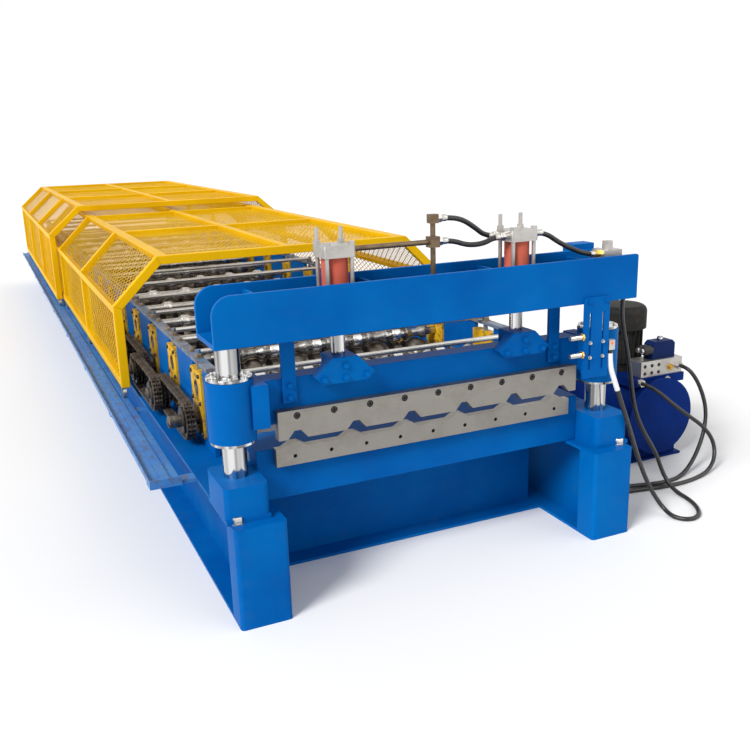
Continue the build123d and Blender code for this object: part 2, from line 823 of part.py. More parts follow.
covered_station_ys = station_ys[open_station_count:]
with BuildPart() as rear_lower_rolls:
    for y in covered_station_ys:
        with BuildSketch(station_plane(y, lower_shaft_level)):
            with BuildLine():
                Polyline(
                    (-block_inner_x, 0),
                    (-block_inner_x, lower_journal_radius),
                    (-roll_half_length, lower_journal_radius),
                    (-roll_half_length, rear_lower_radius),
                    (roll_half_length, rear_lower_radius),
                    (roll_half_length, lower_journal_radius),
                    (block_inner_x, lower_journal_radius),
                    (block_inner_x, 0),
                    close=True,
                )
            make_face()
        revolve(axis=Axis((0, y, lower_shaft_level), (1, 0, 0)))
rear_lower_rolls.part.label = "rear_lower_rolls"
export_step(rear_lower_rolls.part, "parts/rear_lower_rolls.step")

with BuildPart() as rear_upper_rolls:
    for y in covered_station_ys:
        with BuildSketch(station_plane(y, upper_shaft_level)):
            with BuildLine():
                Polyline(
                    (-block_inner_x, 0),
                    (-block_inner_x, upper_journal_radius),
                    (-roll_half_length, upper_journal_radius),
                    (-roll_half_length, rear_upper_radius),
                    (roll_half_length, rear_upper_radius),
                    (roll_half_length, upper_journal_radius),
                    (block_inner_x, upper_journal_radius),
                    (block_inner_x, 0),
                    close=True,
                )
            make_face()
        revolve(axis=Axis((0, y, upper_shaft_level), (1, 0, 0)))
rear_upper_rolls.part.label = "rear_upper_rolls"
export_step(rear_upper_rolls.part, "parts/rear_upper_rolls.step")

# Under the covers each shaft end carries a double sprocket, shown as its drum.
drum_centre_x = (chain_plane_near_x + chain_plane_far_x) / 2
with BuildPart() as rear_sprockets:
    for y in covered_station_ys:
        with BuildSketch(station_plane(y, lower_shaft_level)):
            with BuildLine():
                Polyline(
                    (-drive_end_x, 0),
                    (-drive_end_x, lower_journal_radius),
                    (-drum_centre_x - hub_half_width, lower_journal_radius),
                    (-drum_centre_x - hub_half_width, chain_inner_radius),
                    (-drum_centre_x + hub_half_width, chain_inner_radius),
                    (-drum_centre_x + hub_half_width, lower_journal_radius),
                    (-block_outer_x, lower_journal_radius),
                    (-block_outer_x, 0),
                    close=True,
                )
            make_face()
        revolve(axis=Axis((0, y, lower_shaft_level), (1, 0, 0)))
rear_sprockets.part.label = "rear_sprockets"
export_step(rear_sprockets.part, "parts/rear_sprockets.step")

# Each chain joins two neighbouring shafts, and the loops alternate between two planes.
with BuildPart() as drive_chains:
    for number, y in enumerate(station_ys[:-1]):
        plane_x = chain_plane_near_x if number % 2 == 0 else chain_plane_far_x
        with BuildSketch(facing_right(-plane_x - chain_width / 2)):
            with Locations((y + station_pitch / 2, lower_shaft_level)):
                SlotCenterToCenter(station_pitch, 2 * (chain_inner_radius + chain_thickness))
                SlotCenterToCenter(station_pitch, 2 * chain_inner_radius, mode=Mode.SUBTRACT)
        extrude(amount=chain_width)
drive_chains.part.label = "drive_chains"
export_step(drive_chains.part, "parts/drive_chains.step")


# Covers. The arch is a band one tube thick, cut into bays by openings for the mesh.
def corner_inside(corner, before, after):
    """The point one tube inside a corner of the arch, on its mitre."""
    into = Vector(*corner) - Vector(*before)
    out = Vector(*after) - Vector(*corner)
    half_turn = math.radians(into.get_angle(out) / 2)
    inward = (out.normalized() - into.normalized()).normalized()
    step = inward * (tube / math.cos(half_turn))
    return (corner[0] + step.X, corner[1] + step.Y)


for cover_name, half_width, eave, ridge_x, ridge, cover_y, bay, wheel_x in (
    (
        "front_cover",
        front_cover_half_width,
        front_cover_eave,
        front_cover_ridge_x,
        front_cover_ridge,
        front_cover_y,
        front_cover_bay,
        inner_strip_x,
    ),
    (
        "rear_cover",
        rear_cover_half_width,
        rear_cover_eave,
        rear_cover_ridge_x,
        rear_cover_ridge,
        rear_cover_y,
        rear_cover_bay,
        outer_strip_x,
    ),
):
    cover_length = cover_bays * bay
    foot = (half_width, post_bottom)
    shoulder = (half_width, eave)
    crest = (ridge_x, ridge)
    middle = (0, ridge)
    shoulder_inside = corner_inside(shoulder, foot, crest)
    crest_inside = corner_inside(crest, shoulder, middle)
    post_ys = [cover_y + number * bay for number in range(cover_bays + 1)]
    post_ys = [min(max(y, cover_y + tube / 2), cover_y + cover_length - tube / 2) for y in post_ys]
    window_bounds = [(post_ys[number] + tube / 2, post_ys[number + 1] - tube / 2) for number in range(cover_bays)]

    with BuildPart() as cover_sides:
        with BuildSketch(facing_front(cover_y)):
            with BuildLine():
                Polyline(foot, shoulder, shoulder_inside, (half_width - tube, post_bottom), close=True)
            make_face()
            mirror(about=Plane.YZ)
        extrude(amount=-cover_length)
        with BuildSketch(facing_right(-half_width)):
            window_bottom = post_bottom + tube
            window_top = shoulder_inside[1] - tube / 2
            for start, end in window_bounds:
                with Locations(((start + end) / 2, (window_bottom + window_top) / 2)):
                    Rectangle(end - start, window_top - window_bottom)
        extrude(amount=2 * half_width, mode=Mode.SUBTRACT)
    cover_sides.part.label = f"{cover_name}_sides"
    export_step(cover_sides.part, f"parts/{cover_name}_sides.step")

    with BuildPart() as cover_slopes:
        for y in post_ys:
            with BuildSketch(facing_front(y - tube / 2)):
                with BuildLine():
                    Polyline(shoulder, crest, crest_inside, shoulder_inside, close=True)
                make_face()
                mirror(about=Plane.YZ)
            extrude(amount=-tube)
    cover_slopes.part.label = f"{cover_name}_slopes"
    export_step(cover_slopes.part, f"parts/{cover_name}_slopes.step")

    with BuildPart() as cover_roof:
        with BuildSketch(facing_front(cover_y)):
            with BuildLine():
                Polyline(crest, (-crest[0], ridge), (-crest_inside[0], ridge - tube), crest_inside, close=True)
            make_face()
        extrude(amount=-cover_length)
        with BuildSketch(Plane.XY.offset(ridge - tube)):
            for start, end in window_bounds:
                for side in (-1, 1):
                    window_width = crest_inside[0] - tube - tube / 2
                    with Locations((side * (tube / 2 + window_width / 2), (start + end) / 2)):
                        Rectangle(window_width, end - start)
        extrude(amount=tube, mode=Mode.SUBTRACT)
    cover_roof.part.label = f"{cover_name}_roof"
    export_step(cover_roof.part, f"parts/{cover_name}_roof.step")

    # Each panel is a sheet with a plain grid of openings, which stand for the wire mesh.
    mesh_ends = []
    for outer, inner in ((shoulder, shoulder_inside), (crest, crest_inside)):
        for share in (0.5 - mesh_thickness / tube / 2, 0.5 + mesh_thickness / tube / 2):
            mesh_ends.append(Vector(*outer) + (Vector(*inner) - Vector(*outer)) * share)
    slope_mesh_outline = [(mesh_ends[number].X, mesh_ends[number].Y) for number in (0, 2, 3, 1)]
    with BuildPart() as cover_mesh:
        for start, end in window_bounds:
            for side in (-1, 1):
                with BuildSketch(facing_right(side * (half_width - tube / 2) - mesh_thickness / 2)):
                    with Locations(((start + end) / 2, (window_bottom + window_top) / 2)):
                        Rectangle(end - start, window_top - window_bottom)
                        cell = ((end - start) / mesh_columns, (window_top - window_bottom) / side_mesh_rows)
                        with GridLocations(*cell, mesh_columns, side_mesh_rows):
                            Rectangle(cell[0] - mesh_bar, cell[1] - mesh_bar, mode=Mode.SUBTRACT)
                extrude(amount=mesh_thickness)
                with BuildSketch(Plane.XY.offset(ridge - tube / 2 - mesh_thickness / 2)):
                    with Locations((side * (tube / 2 + window_width / 2), (start + end) / 2)):
                        Rectangle(window_width, end - start)
                        cell = (window_width / roof_mesh_rows, (end - start) / mesh_columns)
                        with GridLocations(*cell, roof_mesh_rows, mesh_columns):
                            Rectangle(cell[0] - mesh_bar, cell[1] - mesh_bar, mode=Mode.SUBTRACT)
                extrude(amount=mesh_thickness)
            with BuildSketch(facing_front(start)):
                with BuildLine():
                    Polyline(*slope_mesh_outline, close=True)
                make_face()
                mirror(about=Plane.YZ)
            extrude(amount=start - end)
            slope = (mesh_ends[2] + mesh_ends[3] - mesh_ends[0] - mesh_ends[1]) * 0.5
            slope_middle = (mesh_ends[0] + mesh_ends[1] + mesh_ends[2] + mesh_ends[3]) * 0.25
            slope_length = slope.length - 2 * mesh_bar
            cell = ((end - start) / mesh_columns, slope_length / slope_mesh_rows)
            for side in (-1, 1):
                slope_plane = Plane(
                    origin=(side * slope_middle.X, (start + end) / 2, slope_middle.Y),
                    x_dir=(0, 1, 0),
                    z_dir=(side * slope.Y, 0, -slope.X),
                )
                with BuildSketch(slope_plane):
                    with GridLocations(*cell, mesh_columns, slope_mesh_rows):
                        Rectangle(cell[0] - mesh_bar, cell[1] - mesh_bar)
                extrude(amount=mesh_thickness, both=True, mode=Mode.SUBTRACT)
    cover_mesh.part.label = f"{cover_name}_mesh"
    export_step(cover_mesh.part, f"parts/{cover_name}_mesh.step")

    wheel_level = beam_height + rail_sheet + rail_strip_height + wheel_clearance + wheel_radius
    with BuildPart() as cover_wheels:
        for side in (-1, 1):
            for y in post_ys:
                with BuildSketch(facing_right(side * wheel_x - wheel_width / 2)):
                    with Locations((y, wheel_level)):
                        Circle(wheel_radius)
                extrude(amount=wheel_width)
                for cheek in (-1, 1):
                    cheek_x = side * wheel_x + cheek * (wheel_width + fork_cheek) / 2
                    with BuildSketch(facing_right(cheek_x - fork_cheek / 2)):
                        with Locations((y, post_bottom - fork_height / 2)):
                            Rectangle(fork_length, fork_height)
                    extrude(amount=fork_cheek)
                with BuildSketch(Plane.XY.offset(post_bottom)):
                    with Locations((side * wheel_x, y)):
                        Rectangle(wheel_width + 2 * fork_cheek, fork_length)
                extrude(amount=-fork_cheek)
    cover_wheels.part.label = f"{cover_name}_wheels"
    export_step(cover_wheels.part, f"parts/{cover_name}_wheels.step")

# Rails along both sides, a tray with two running strips on brackets from the frame.
rail_width = rail_outer_x - rail_inner_x
with BuildPart() as cover_rails:
    for side in (-1, 1):
        with BuildSketch(facing_front(rail_front_y)):
            with Locations((side * (rail_outer_x + rail_inner_x) / 2, beam_height + rail_sheet / 2)):
                Rectangle(rail_width, rail_sheet)
            lip_height = rail_sheet + rail_lip_height
            with Locations((side * (rail_outer_x - rail_sheet / 2), beam_height + lip_height / 2)):
                Rectangle(rail_sheet, lip_height)
            strip_middle = beam_height + rail_sheet + rail_strip_height / 2
            with Locations((side * inner_strip_x, strip_middle)):
                Rectangle(inner_strip_width, rail_strip_height)
            with Locations((side * outer_strip_x, strip_middle)):
                Rectangle(outer_strip_width, rail_strip_height)
        extrude(amount=-rail_length)
        with BuildSketch(facing_front(rail_front_y)):
            cap_height_here = rail_bracket_height + lip_height
            cap_middle = beam_height - rail_bracket_height + cap_height_here / 2
            with Locations((side * (rail_outer_x + rail_inner_x) / 2, cap_middle)):
                Rectangle(rail_width, cap_height_here)
        extrude(amount=rail_cap_thickness)
        with BuildSketch(Plane.XY.offset(beam_height)):
            bracket_length = rail_outer_x - flange_outer_x
            bracket_ys = [rail_front_y + number * rail_bracket_pitch for number in range(rail_bracket_count)]
            with Locations(
                [(side * (flange_outer_x + bracket_length / 2), y + rail_bracket_width / 2) for y in bracket_ys]
            ):
                Rectangle(bracket_length, rail_bracket_width)
        extrude(amount=-rail_bracket_height)
cover_rails.part.label = "cover_rails"
export_step(cover_rails.part, "parts/cover_rails.step")

# Hydraulic unit beside the cutter: a drum tank on saddles with its pump motor upright.
tank_back_y = tank_front_y + tank_length
with BuildPart() as oil_tank:
    with BuildSketch(facing_front(tank_front_y)):
        with Locations((tank_x, tank_level)):
            Circle(tank_radius)
    extrude(amount=-tank_length)
    for rim_y in (tank_front_y, tank_back_y - tank_rim_width):
        with BuildSketch(facing_front(rim_y)):
            with Locations((tank_x, tank_level)):
                Circle(tank_radius + tank_rim_height)
        extrude(amount=-tank_rim_width)
    with BuildSketch(Plane.XY.offset(deck_top)):
        with Locations((tank_x, deck_front_y + deck_length / 2)):
            Rectangle(2 * deck_half_width, deck_length)
    extrude(amount=-deck_height)
    for saddle_y in (tank_front_y + saddle_inset, tank_back_y - saddle_inset - saddle_thickness):
        with BuildSketch(facing_front(saddle_y)):
            with Locations((tank_x, tank_level / 2)):
                Rectangle(2 * saddle_half_width, tank_level)
        extrude(amount=-saddle_thickness)
        with BuildSketch(Plane.XY):
            with Locations((tank_x, saddle_y + saddle_thickness / 2)):
                Rectangle(
                    2 * (saddle_half_width + saddle_foot_overhang), saddle_thickness + 2 * saddle_foot_overhang
                )
        extrude(amount=saddle_foot_height)
oil_tank.part.label = "oil_tank"
export_step(oil_tank.part, "parts/oil_tank.step")

with BuildPart() as pump_motor:
    with BuildSketch(Plane.XY.offset(deck_top)):
        with Locations((motor_x, motor_y)):
            Circle(motor_bell_radius)
    extrude(amount=motor_bell_height)
    body_bottom = deck_top + motor_bell_height
    with BuildSketch(Plane.XY.offset(body_bottom)):
        with Locations((motor_x, motor_y)):
            Circle(motor_body_radius)
            with PolarLocations(motor_body_radius + motor_fin_reach / 2 - 2, motor_fin_count):
                Rectangle(motor_fin_reach + 4, motor_fin_width)
        box_centre_x = motor_x - motor_body_radius - motor_box_size / 4
        with Locations((box_centre_x, motor_y)):
            Rectangle(motor_box_size / 2 + 2 * motor_fin_reach, motor_box_size)
    extrude(amount=motor_body_height)
    with BuildSketch(Plane.XY.offset(body_bottom + motor_body_height)):
        with Locations((motor_x, motor_y)):
            Circle(motor_cowl_radius)
    cowl = extrude(amount=motor_cowl_height)
    fillet(pump_motor.faces().sort_by(Axis.Z)[-1].edges(), motor_cowl_corner)
pump_motor.part.label = "pump_motor"
export_step(pump_motor.part, "parts/pump_motor.step")

with BuildPart() as valve_block:
    with BuildSketch(Plane.XY.offset(deck_top)):
        with Locations((valve_block_x, valve_block_y)):
            Rectangle(valve_block_width, valve_block_depth)
    extrude(amount=valve_block_height)
valve_block.part.label = "valve_block"
export_step(valve_block.part, "parts/valve_block.step")

valve_block_top = deck_top + valve_block_height
with BuildPart() as control_valve:
    with BuildSketch(Plane.XY.offset(valve_block_top)):
        with Locations((control_valve_x, valve_block_y)):
            Rectangle(control_valve_width, control_valve_depth)
    extrude(amount=control_valve_height)
    chamfer(control_valve.faces().sort_by(Axis.Z)[-1].edges().filter_by(Axis.Y), control_valve_depth / 4)
    with BuildSketch(Plane.XY.offset(valve_block_top + control_valve_height)):
        with Locations((control_valve_x, valve_block_y)):
            Circle(valve_knob_radius)
    extrude(amount=valve_knob_length)
control_valve.part.label = "control_valve"
export_step(control_valve.part, "parts/control_valve.step")

# Pipes from the left cylinder to a tee, with a riser to an elbow and a drop to the channel floor.
with BuildPart() as feed_pipes:
    pipe_start_x = -bracket_x + cap_side / 2 + port_length
    with BuildSketch(facing_right(pipe_start_x)):
        with Locations((cylinder_y, port_level)):
            Circle(pipe_radius)
    extrude(amount=tee_x - pipe_start_x)
    with BuildSketch(Plane.XY.offset(port_level - tee_size / 2)):
        with Locations((tee_x, cylinder_y)):
            Rectangle(tee_size, tee_size)
    extrude(amount=tee_size)
    with BuildSketch(Plane.XY.offset(beam_floor_top)):
        with Locations((tee_x, cylinder_y)):
            Circle(pipe_radius)
    extrude(amount=riser_top - beam_floor_top)
    with BuildSketch(Plane.XY.offset(riser_top - elbow_size / 2)):
        with Locations((tee_x, cylinder_y)):
            Rectangle(elbow_size, elbow_size)
    extrude(amount=elbow_size)
feed_pipes.part.label = "feed_pipes"
export_step(feed_pipes.part, "parts/feed_pipes.step")

# Hexagon unions that the hoses end in, and the gland at the edge of the sensor strip.
web_face_x = side_beam_x + beam_web / 2
valve_face_y = valve_block_y - valve_block_depth / 2
gland_x = sensor_strip_x + sensor_strip_width / 2 + gland_width / 2
gland_y = strip_front_y + sensor_strip_thickness / 2
with BuildPart() as hose_unions:
    for y in web_port_ys:
        with BuildSketch(facing_right(web_face_x)):
            with Locations((y, web_port_level)):
                RegularPolygon(fitting_flats / 2, 6, major_radius=False)
        extrude(amount=fitting_length)
    with BuildSketch(facing_front(valve_face_y - fitting_length)):
        with Locations((valve_port_x, valve_port_level)):
            RegularPolygon(fitting_flats / 2, 6, major_radius=False)
    extrude(amount=-fitting_length)
    with BuildSketch(facing_front(deck_front_y - fitting_length)):
        with Locations((deck_port_x, deck_port_level)):
            RegularPolygon(fitting_flats / 2, 6, major_radius=False)
    extrude(amount=-fitting_length)
    with BuildSketch(Plane.XY.offset(gland_bottom)):
        with Locations((gland_x, gland_y)):
            Rectangle(gland_width, gland_depth)
    extrude(amount=gland_height)
hose_unions.part.label = "hose_unions"
export_step(hose_unions.part, "parts/hose_unions.step")

# Hoses. Each is a route of straight runs, and every corner gets the largest arc its runs allow.
right_port_x = bracket_x - cap_side / 2 - port_length
elbow_x = tee_x + elbow_size / 2
tee_right_x = tee_x + tee_size / 2
end_port_x = bracket_x + cap_side / 2 + port_length
manifold_left_x = manifold_x - manifold_width / 2
manifold_right_x = manifold_x + manifold_width / 2
floor_level = hose_radius
manifold_port_level = 1040
manifold_inlet_level = 1080
union_end_x = web_face_x + fitting_length
valve_port_y = valve_face_y - fitting_length
deck_port_y = deck_front_y - fitting_length
hoses = {
    "upper_hose": (
        hose_radius,
        [
            (elbow_x, cylinder_y, riser_top),
            (72, cylinder_y, riser_top),
            (128, cylinder_y + 8, 1236),
            (182, cylinder_y + 18, 1206),
            (232, cylinder_y + 22, port_level),
            (right_port_x, cylinder_y + 22, port_level),
        ],
    ),
    "lower_hose": (
        hose_radius,
        [
            (tee_right_x, cylinder_y, port_level),
            (84, cylinder_y, port_level),
            (140, cylinder_y - 8, 1148),
            (198, cylinder_y - 18, 1150),
            (240, cylinder_y - 22, port_level),
            (right_port_x, cylinder_y - 22, port_level),
        ],
    ),
    "end_hose": (
        hose_radius,
        [
            (end_port_x, cylinder_y, port_level),
            (462, cylinder_y, port_level),
            (520, cylinder_y - 10, 1128),
            (578, cylinder_y - 26, 1098),
            (630, manifold_y, manifold_inlet_level),
            (manifold_left_x, manifold_y, manifold_inlet_level),
        ],
    ),
    "sensor_cable": (
        hose_radius,
        [
            (manifold_right_x, manifold_y, manifold_port_level),
            (804, manifold_y, manifold_port_level),
            (844, -298, 984),
            (852, -252, 906),
            (878, -216, 820),
            (912, -198, 730),
            (944, -190, 632),
            (966, -186, 540),
            (985, -182, 452),
            (1012, -178, 370),
            (1057, -173, 290),
            (1112, -166, 216),
            (1160, -156, 150),
            (1186, -158, 86),
            (1194, -194, 34),
            (1196, -248, floor_level),
            (1188, -326, floor_level),
            (1160, -404, floor_level),
            (1110, -468, floor_level),
            (1046, -482, floor_level),
            (1006, -432, floor_level),
            (1010, -362, 26),
            (964, -338, 106),
            (897, -350, 222),
            (822, -382, 352),
            (768, -404, 452),
            (730, -408, 536),
            (700, -408, 612),
            (gland_x, gland_y, 680),
            (gland_x, gland_y, gland_bottom),
        ],
    ),
    "valve_hose": (
        hose_radius,
        [
            (valve_port_x, valve_port_y, valve_port_level),
            (valve_port_x, 50, valve_port_level),
            (1520, 14, 408),
            (1552, -4, 330),
            (1560, -24, 250),
            (1538, -42, 168),
            (1486, -64, 90),
            (1416, -90, 32),
            (1340, -118, floor_level),
            (1262, -138, floor_level),
            (1180, -132, floor_level),
            (1100, -110, floor_level),
            (1020, -94, floor_level),
            (940, -90, floor_level),
            (866, -92, 14),
            (800, web_port_ys[0], 40),
            (750, web_port_ys[0], web_port_level),
            (union_end_x, web_port_ys[0], web_port_level),
        ],
    ),
    "deck_hose": (
        hose_radius,
        [
            (deck_port_x, deck_port_y, deck_port_level),
            (deck_port_x, 46, deck_port_level),
            (1312, 10, 366),
            (1378, -8, 306),
            (1448, -30, 250),
            (1516, -58, 196),
            (1558, -84, 126),
            (1544, -112, 56),
            (1484, -138, 16),
            (1410, -160, floor_level),
            (1336, -176, floor_level),
            (1260, -181, floor_level),
            (1180, -174, floor_level),
            (1100, -156, floor_level),
            (1020, -143, floor_level),
            (940, -138, floor_level),
            (866, -140, 14),
            (800, web_port_ys[1], 40),
            (750, web_port_ys[1], web_port_level),
            (union_end_x, web_port_ys[1], web_port_level),
        ],
    ),
}


def corner_radii(points):
    """The largest arc at each corner: 0.45 of the shorter run over the tangent of half the turn."""
    radii = []
    for before, corner, after in zip(points, points[1:], points[2:]):
        into = Vector(*corner) - Vector(*before)
        out = Vector(*after) - Vector(*corner)
        half_turn = math.radians(into.get_angle(out) / 2)
        radii.append(0.45 * min(into.length, out.length) / math.tan(half_turn))
    return radii


for hose_name, (radius, route) in hoses.items():
    radii = corner_radii(route)
    with BuildPart() as hose:
        with BuildLine() as path:
            FilletPolyline(*route, radius=radii)
        route_wire = path.wires()[0]
        with BuildSketch(Plane(origin=route_wire @ 0, z_dir=route_wire % 0)):
            Circle(radius)
        sweep(path=route_wire)
    hose.part.label = hose_name
    export_step(hose.part, f"parts/{hose_name}.step")
    section = math.pi * radius**2
    print(hose_name, "length", round(route_wire.length), "smallest radius", round(min(radii)))
    print("  volume over section times length", round(hose.part.volume / section / route_wire.length, 4))
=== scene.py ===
import json
import math

import bmesh
import bpy
import numpy as np
from mathutils import Matrix


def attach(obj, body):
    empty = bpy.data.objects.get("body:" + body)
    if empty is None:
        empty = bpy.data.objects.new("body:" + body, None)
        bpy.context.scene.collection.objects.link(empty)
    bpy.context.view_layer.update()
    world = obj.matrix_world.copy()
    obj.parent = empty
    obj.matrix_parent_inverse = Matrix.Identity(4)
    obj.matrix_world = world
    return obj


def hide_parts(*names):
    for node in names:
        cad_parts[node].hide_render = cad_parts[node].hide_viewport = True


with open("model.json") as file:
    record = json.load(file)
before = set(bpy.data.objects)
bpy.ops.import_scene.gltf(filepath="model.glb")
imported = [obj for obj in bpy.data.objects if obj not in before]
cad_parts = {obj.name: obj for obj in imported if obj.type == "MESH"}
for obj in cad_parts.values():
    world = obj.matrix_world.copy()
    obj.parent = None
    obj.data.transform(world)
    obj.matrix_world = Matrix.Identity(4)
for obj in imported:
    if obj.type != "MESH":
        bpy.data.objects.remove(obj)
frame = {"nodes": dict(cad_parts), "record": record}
nodes = frame["nodes"]
bodyOf = {name: body for body, names in frame["record"]["behaviour"]["bodies"].items() for name in names}
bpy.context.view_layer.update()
print("frame loaded with", len(nodes), "nodes")


# An object made of some data, put into the scene.
def placed(name, data):
    piece = bpy.data.objects.new(name, data)
    bpy.context.scene.collection.objects.link(piece)
    return piece


# camera
camera = {
    "place": (-1.3753, -2.8718, 1.5233), "yaw": 24.09, "pitch": -15.48, "roll": -1.71,
    "lens": 41.76, "sensor": 36, "reach": (0.05, 100),
}


# It looks along (sin yaw cos pitch, cos yaw cos pitch, sin pitch), and is rolled about that direction.
def makeCamera(setup):
    yaw, pitch, roll = (math.radians(setup[name]) for name in ("yaw", "pitch", "roll"))
    forward = np.array([math.sin(yaw) * math.cos(pitch), math.cos(yaw) * math.cos(pitch), math.sin(pitch)])
    right = np.array([math.cos(yaw), -math.sin(yaw), 0.0])
    up = np.cross(right, forward)
    right, up = right * math.cos(roll) + up * math.sin(roll), up * math.cos(roll) - right * math.sin(roll)
    data = bpy.data.cameras.new("camera")
    data.lens = setup["lens"]
    data.sensor_width = setup["sensor"]
    data.clip_start, data.clip_end = setup["reach"]
    seen = placed("camera", data)
    turned = Matrix([[right[i], up[i], -forward[i]] for i in range(3)]).to_4x4()
    turned.translation = setup["place"]
    seen.matrix_world = turned
    bpy.context.scene.camera = seen


makeCamera(camera)
print("camera set")


# materials
everyWay = (1, 1, 1)


# A socket of a node tree that takes part in sums and products.
class Wire:
    def __init__(self, builder, socket):
        self.builder, self.socket = builder, socket

    def _math(self, operation, *values):
        return self.builder.add("ShaderNodeMath", {"operation": operation}, dict(enumerate(values)))

    def __add__(self, other):
        return self._math("ADD", self, other)

    def __radd__(self, other):
        return self._math("ADD", other, self)

    def __rsub__(self, other):
        return self._math("SUBTRACT", other, self)

    def __mul__(self, other):
        return self._math("MULTIPLY", self, other)

    # never under 0 or over 1
    def clipped(self):
        return self._math("MINIMUM", self._math("MAXIMUM", self, 0.0), 1.0)


# One material, built node by node.
class Finish:
    def __init__(self, name):
        self.material = bpy.data.materials.new(name)
        self.material.use_nodes = True
        self.tree = self.material.node_tree
        self.shader = self.tree.nodes["Principled BSDF"]

    # a new node, given as a wire from one of its outputs
    def add(self, kind, settings=None, inputs=None, output=0):
        node = self.tree.nodes.new(kind)
        for name, value in (settings or {}).items():
            setattr(node, name, value)
        for name, value in (inputs or {}).items():
            self.feed(node.inputs[name], value)
        return Wire(self, node.outputs[output])

    # an input takes a link or a plain value
    def feed(self, socket, value):
        if isinstance(value, Wire):
            self.tree.links.new(value.socket, socket)
        elif isinstance(value, tuple) and len(value) == 3 and socket.type == "RGBA":
            socket.default_value = (*value, 1)
        else:
            socket.default_value = value

    # inputs of the shader, with _ for a blank
    def set(self, **inputs):
        for name, value in inputs.items():
            self.feed(self.shader.inputs[name.replace("_", " ")], value)
        return self.material

    # cloudy noise of the place, from 0 to 1; stretch multiplies the place's x, y and z
    def noise(self, scale, detail, stretch=everyWay, roughness=0.55):
        spot = self.add("ShaderNodeTexCoord", output=3)
        place = self.add("ShaderNodeMapping", inputs={"Vector": spot, "Scale": stretch})
        inputs = {"Vector": place, "Scale": scale, "Detail": detail, "Roughness": roughness}
        return self.add("ShaderNodeTexNoise", inputs=inputs)

    # colour = low * (1 - share) + high * share
    def between(self, share, low, high):
        return self.add("ShaderNodeMix", {"data_type": "RGBA"}, {0: share, 6: low, 7: high}, output=2)

    # 0 up to low, 1 from high on, and a straight line between them
    def step(self, value, low, high):
        share = self.add("ShaderNodeValToRGB", inputs={0: value})
        elements = share.socket.node.color_ramp.elements
        elements[0].position, elements[0].color = low, (0, 0, 0, 1)
        elements[1].position, elements[1].color = high, (1, 1, 1, 1)
        return share

    def bump(self, height, strength, distance):
        return self.add("ShaderNodeBump", inputs={"Height": height, "Strength": strength, "Distance": distance})

    # the point's place along one axis of the machine, in metres
    def along(self, axis):
        spot = self.add("ShaderNodeTexCoord", output=3)
        return self.add("ShaderNodeSeparateXYZ", inputs={0: spot}, output=axis)


# Paint: a slow change of shade, dust in patches and more of it low down, and a fine ripple.
# colour = mix(mix(deep, colour, slow noise), dust, patches * (0.24 - 0.6 * height + dustShare))
def sprayedPaint(name, colour, deep, dust, rough=0.38, dustShare=0.12, shine=0.03):
    finish = Finish(name)
    slow = finish.step(finish.noise(2.3, 4), 0.34, 0.68)
    shade = finish.between(slow, deep, colour)
    patches = finish.step(finish.noise(11.0, 6, (1, 1, 1.6), 0.7), 0.52, 0.86)
    low = (0.24 - finish.along(2) * 0.6).clipped()
    dirt = (patches * (low + dustShare)).clipped()
    ripple = finish.bump(finish.noise(240.0, 2), 0.08, 0.0005)
    return finish.set(
        Base_Color=finish.between(dirt, shade, dust),
        Roughness=rough + dirt * 0.3 + slow * 0.05,
        Specular_IOR_Level=shine,
        Normal=ripple,
    )


# Steel: fine lines along one direction, and cloudy stains of oil and light rust.
# marks = clouds * stainShare + lines * 0.12, and colour = mix(colour, stain, marks)
def machinedSteel(name, colour, stain, rough, stainShare=0.5, metallic=1.0, cloudSize=14.0, streak=everyWay):
    finish = Finish(name)
    lines = finish.noise(90.0, 3, streak, 0.7)
    clouds = finish.step(finish.noise(cloudSize, 5, roughness=0.65), 0.46, 0.78)
    marks = (clouds * stainShare + finish.step(lines, 0.5, 0.75) * 0.12).clipped()
    return finish.set(
        Base_Color=finish.between(marks, colour, stain),
        Metallic=metallic - marks * 0.3,
        Roughness=rough + lines * 0.12 + marks * 0.2,
        Normal=finish.bump(lines, 0.10, 0.0003),
    )


# Plated columns and rods: upright bands of light and dark round the bar, as a polished bar mirrors a room.
# bands = noise of the place with z squeezed to a hundredth
def polishedBar(name, light, dark, rough):
    finish = Finish(name)
    bands = finish.step(finish.noise(46.0, 1, (1, 1, 0.01), 0.5), 0.40, 0.60)
    wear = finish.noise(120.0, 3, (1, 1, 0.12), 0.6)
    return finish.set(
        Base_Color=finish.between(bands, dark, light),
        Metallic=1.0,
        Roughness=rough + wear * 0.1,
        Normal=finish.bump(wear, 0.05, 0.0002),
    )


# Roll steel: bright where the sheet runs, with rings of wear along the shaft and grease in cloudy patches.
# rings = noise of x alone, grease = noise in all directions, colour = mix(mix(worn, bright, rings), grease, patches)
def rollSteel(name, bright, worn, grease, rough, greaseShare):
    finish = Finish(name)
    rings = finish.step(finish.noise(34.0, 2, (1, 0.02, 0.02), 0.6), 0.35, 0.62)
    patches = finish.step(finish.noise(9.0, 5, roughness=0.7), 0.40, 0.66) * greaseShare
    return finish.set(
        Base_Color=finish.between(patches.clipped(), finish.between(rings, worn, bright), grease),
        Metallic=1.0 - patches * 0.35,
        Roughness=rough + patches * 0.3,
        Normal=finish.bump(finish.noise(60.0, 3, (3, 0.4, 0.4), 0.7), 0.08, 0.0003),
    )


# Grease and dust: dark oil with matt brown dust on it.
# patches = noise step * share, colour = mix(oil, dust, patches)
def greasyDirt(name, oil, dust, share, rough):
    finish = Finish(name)
    patches = (finish.step(finish.noise(26.0, 5, roughness=0.7), 0.38, 0.66) * share).clipped()
    return finish.set(
        Base_Color=finish.between(patches, oil, dust),
        Metallic=0.55 - patches * 0.5,
        Roughness=rough + patches * 0.4,
        Normal=finish.bump(finish.noise(210.0, 3), 0.2, 0.0006),
    )


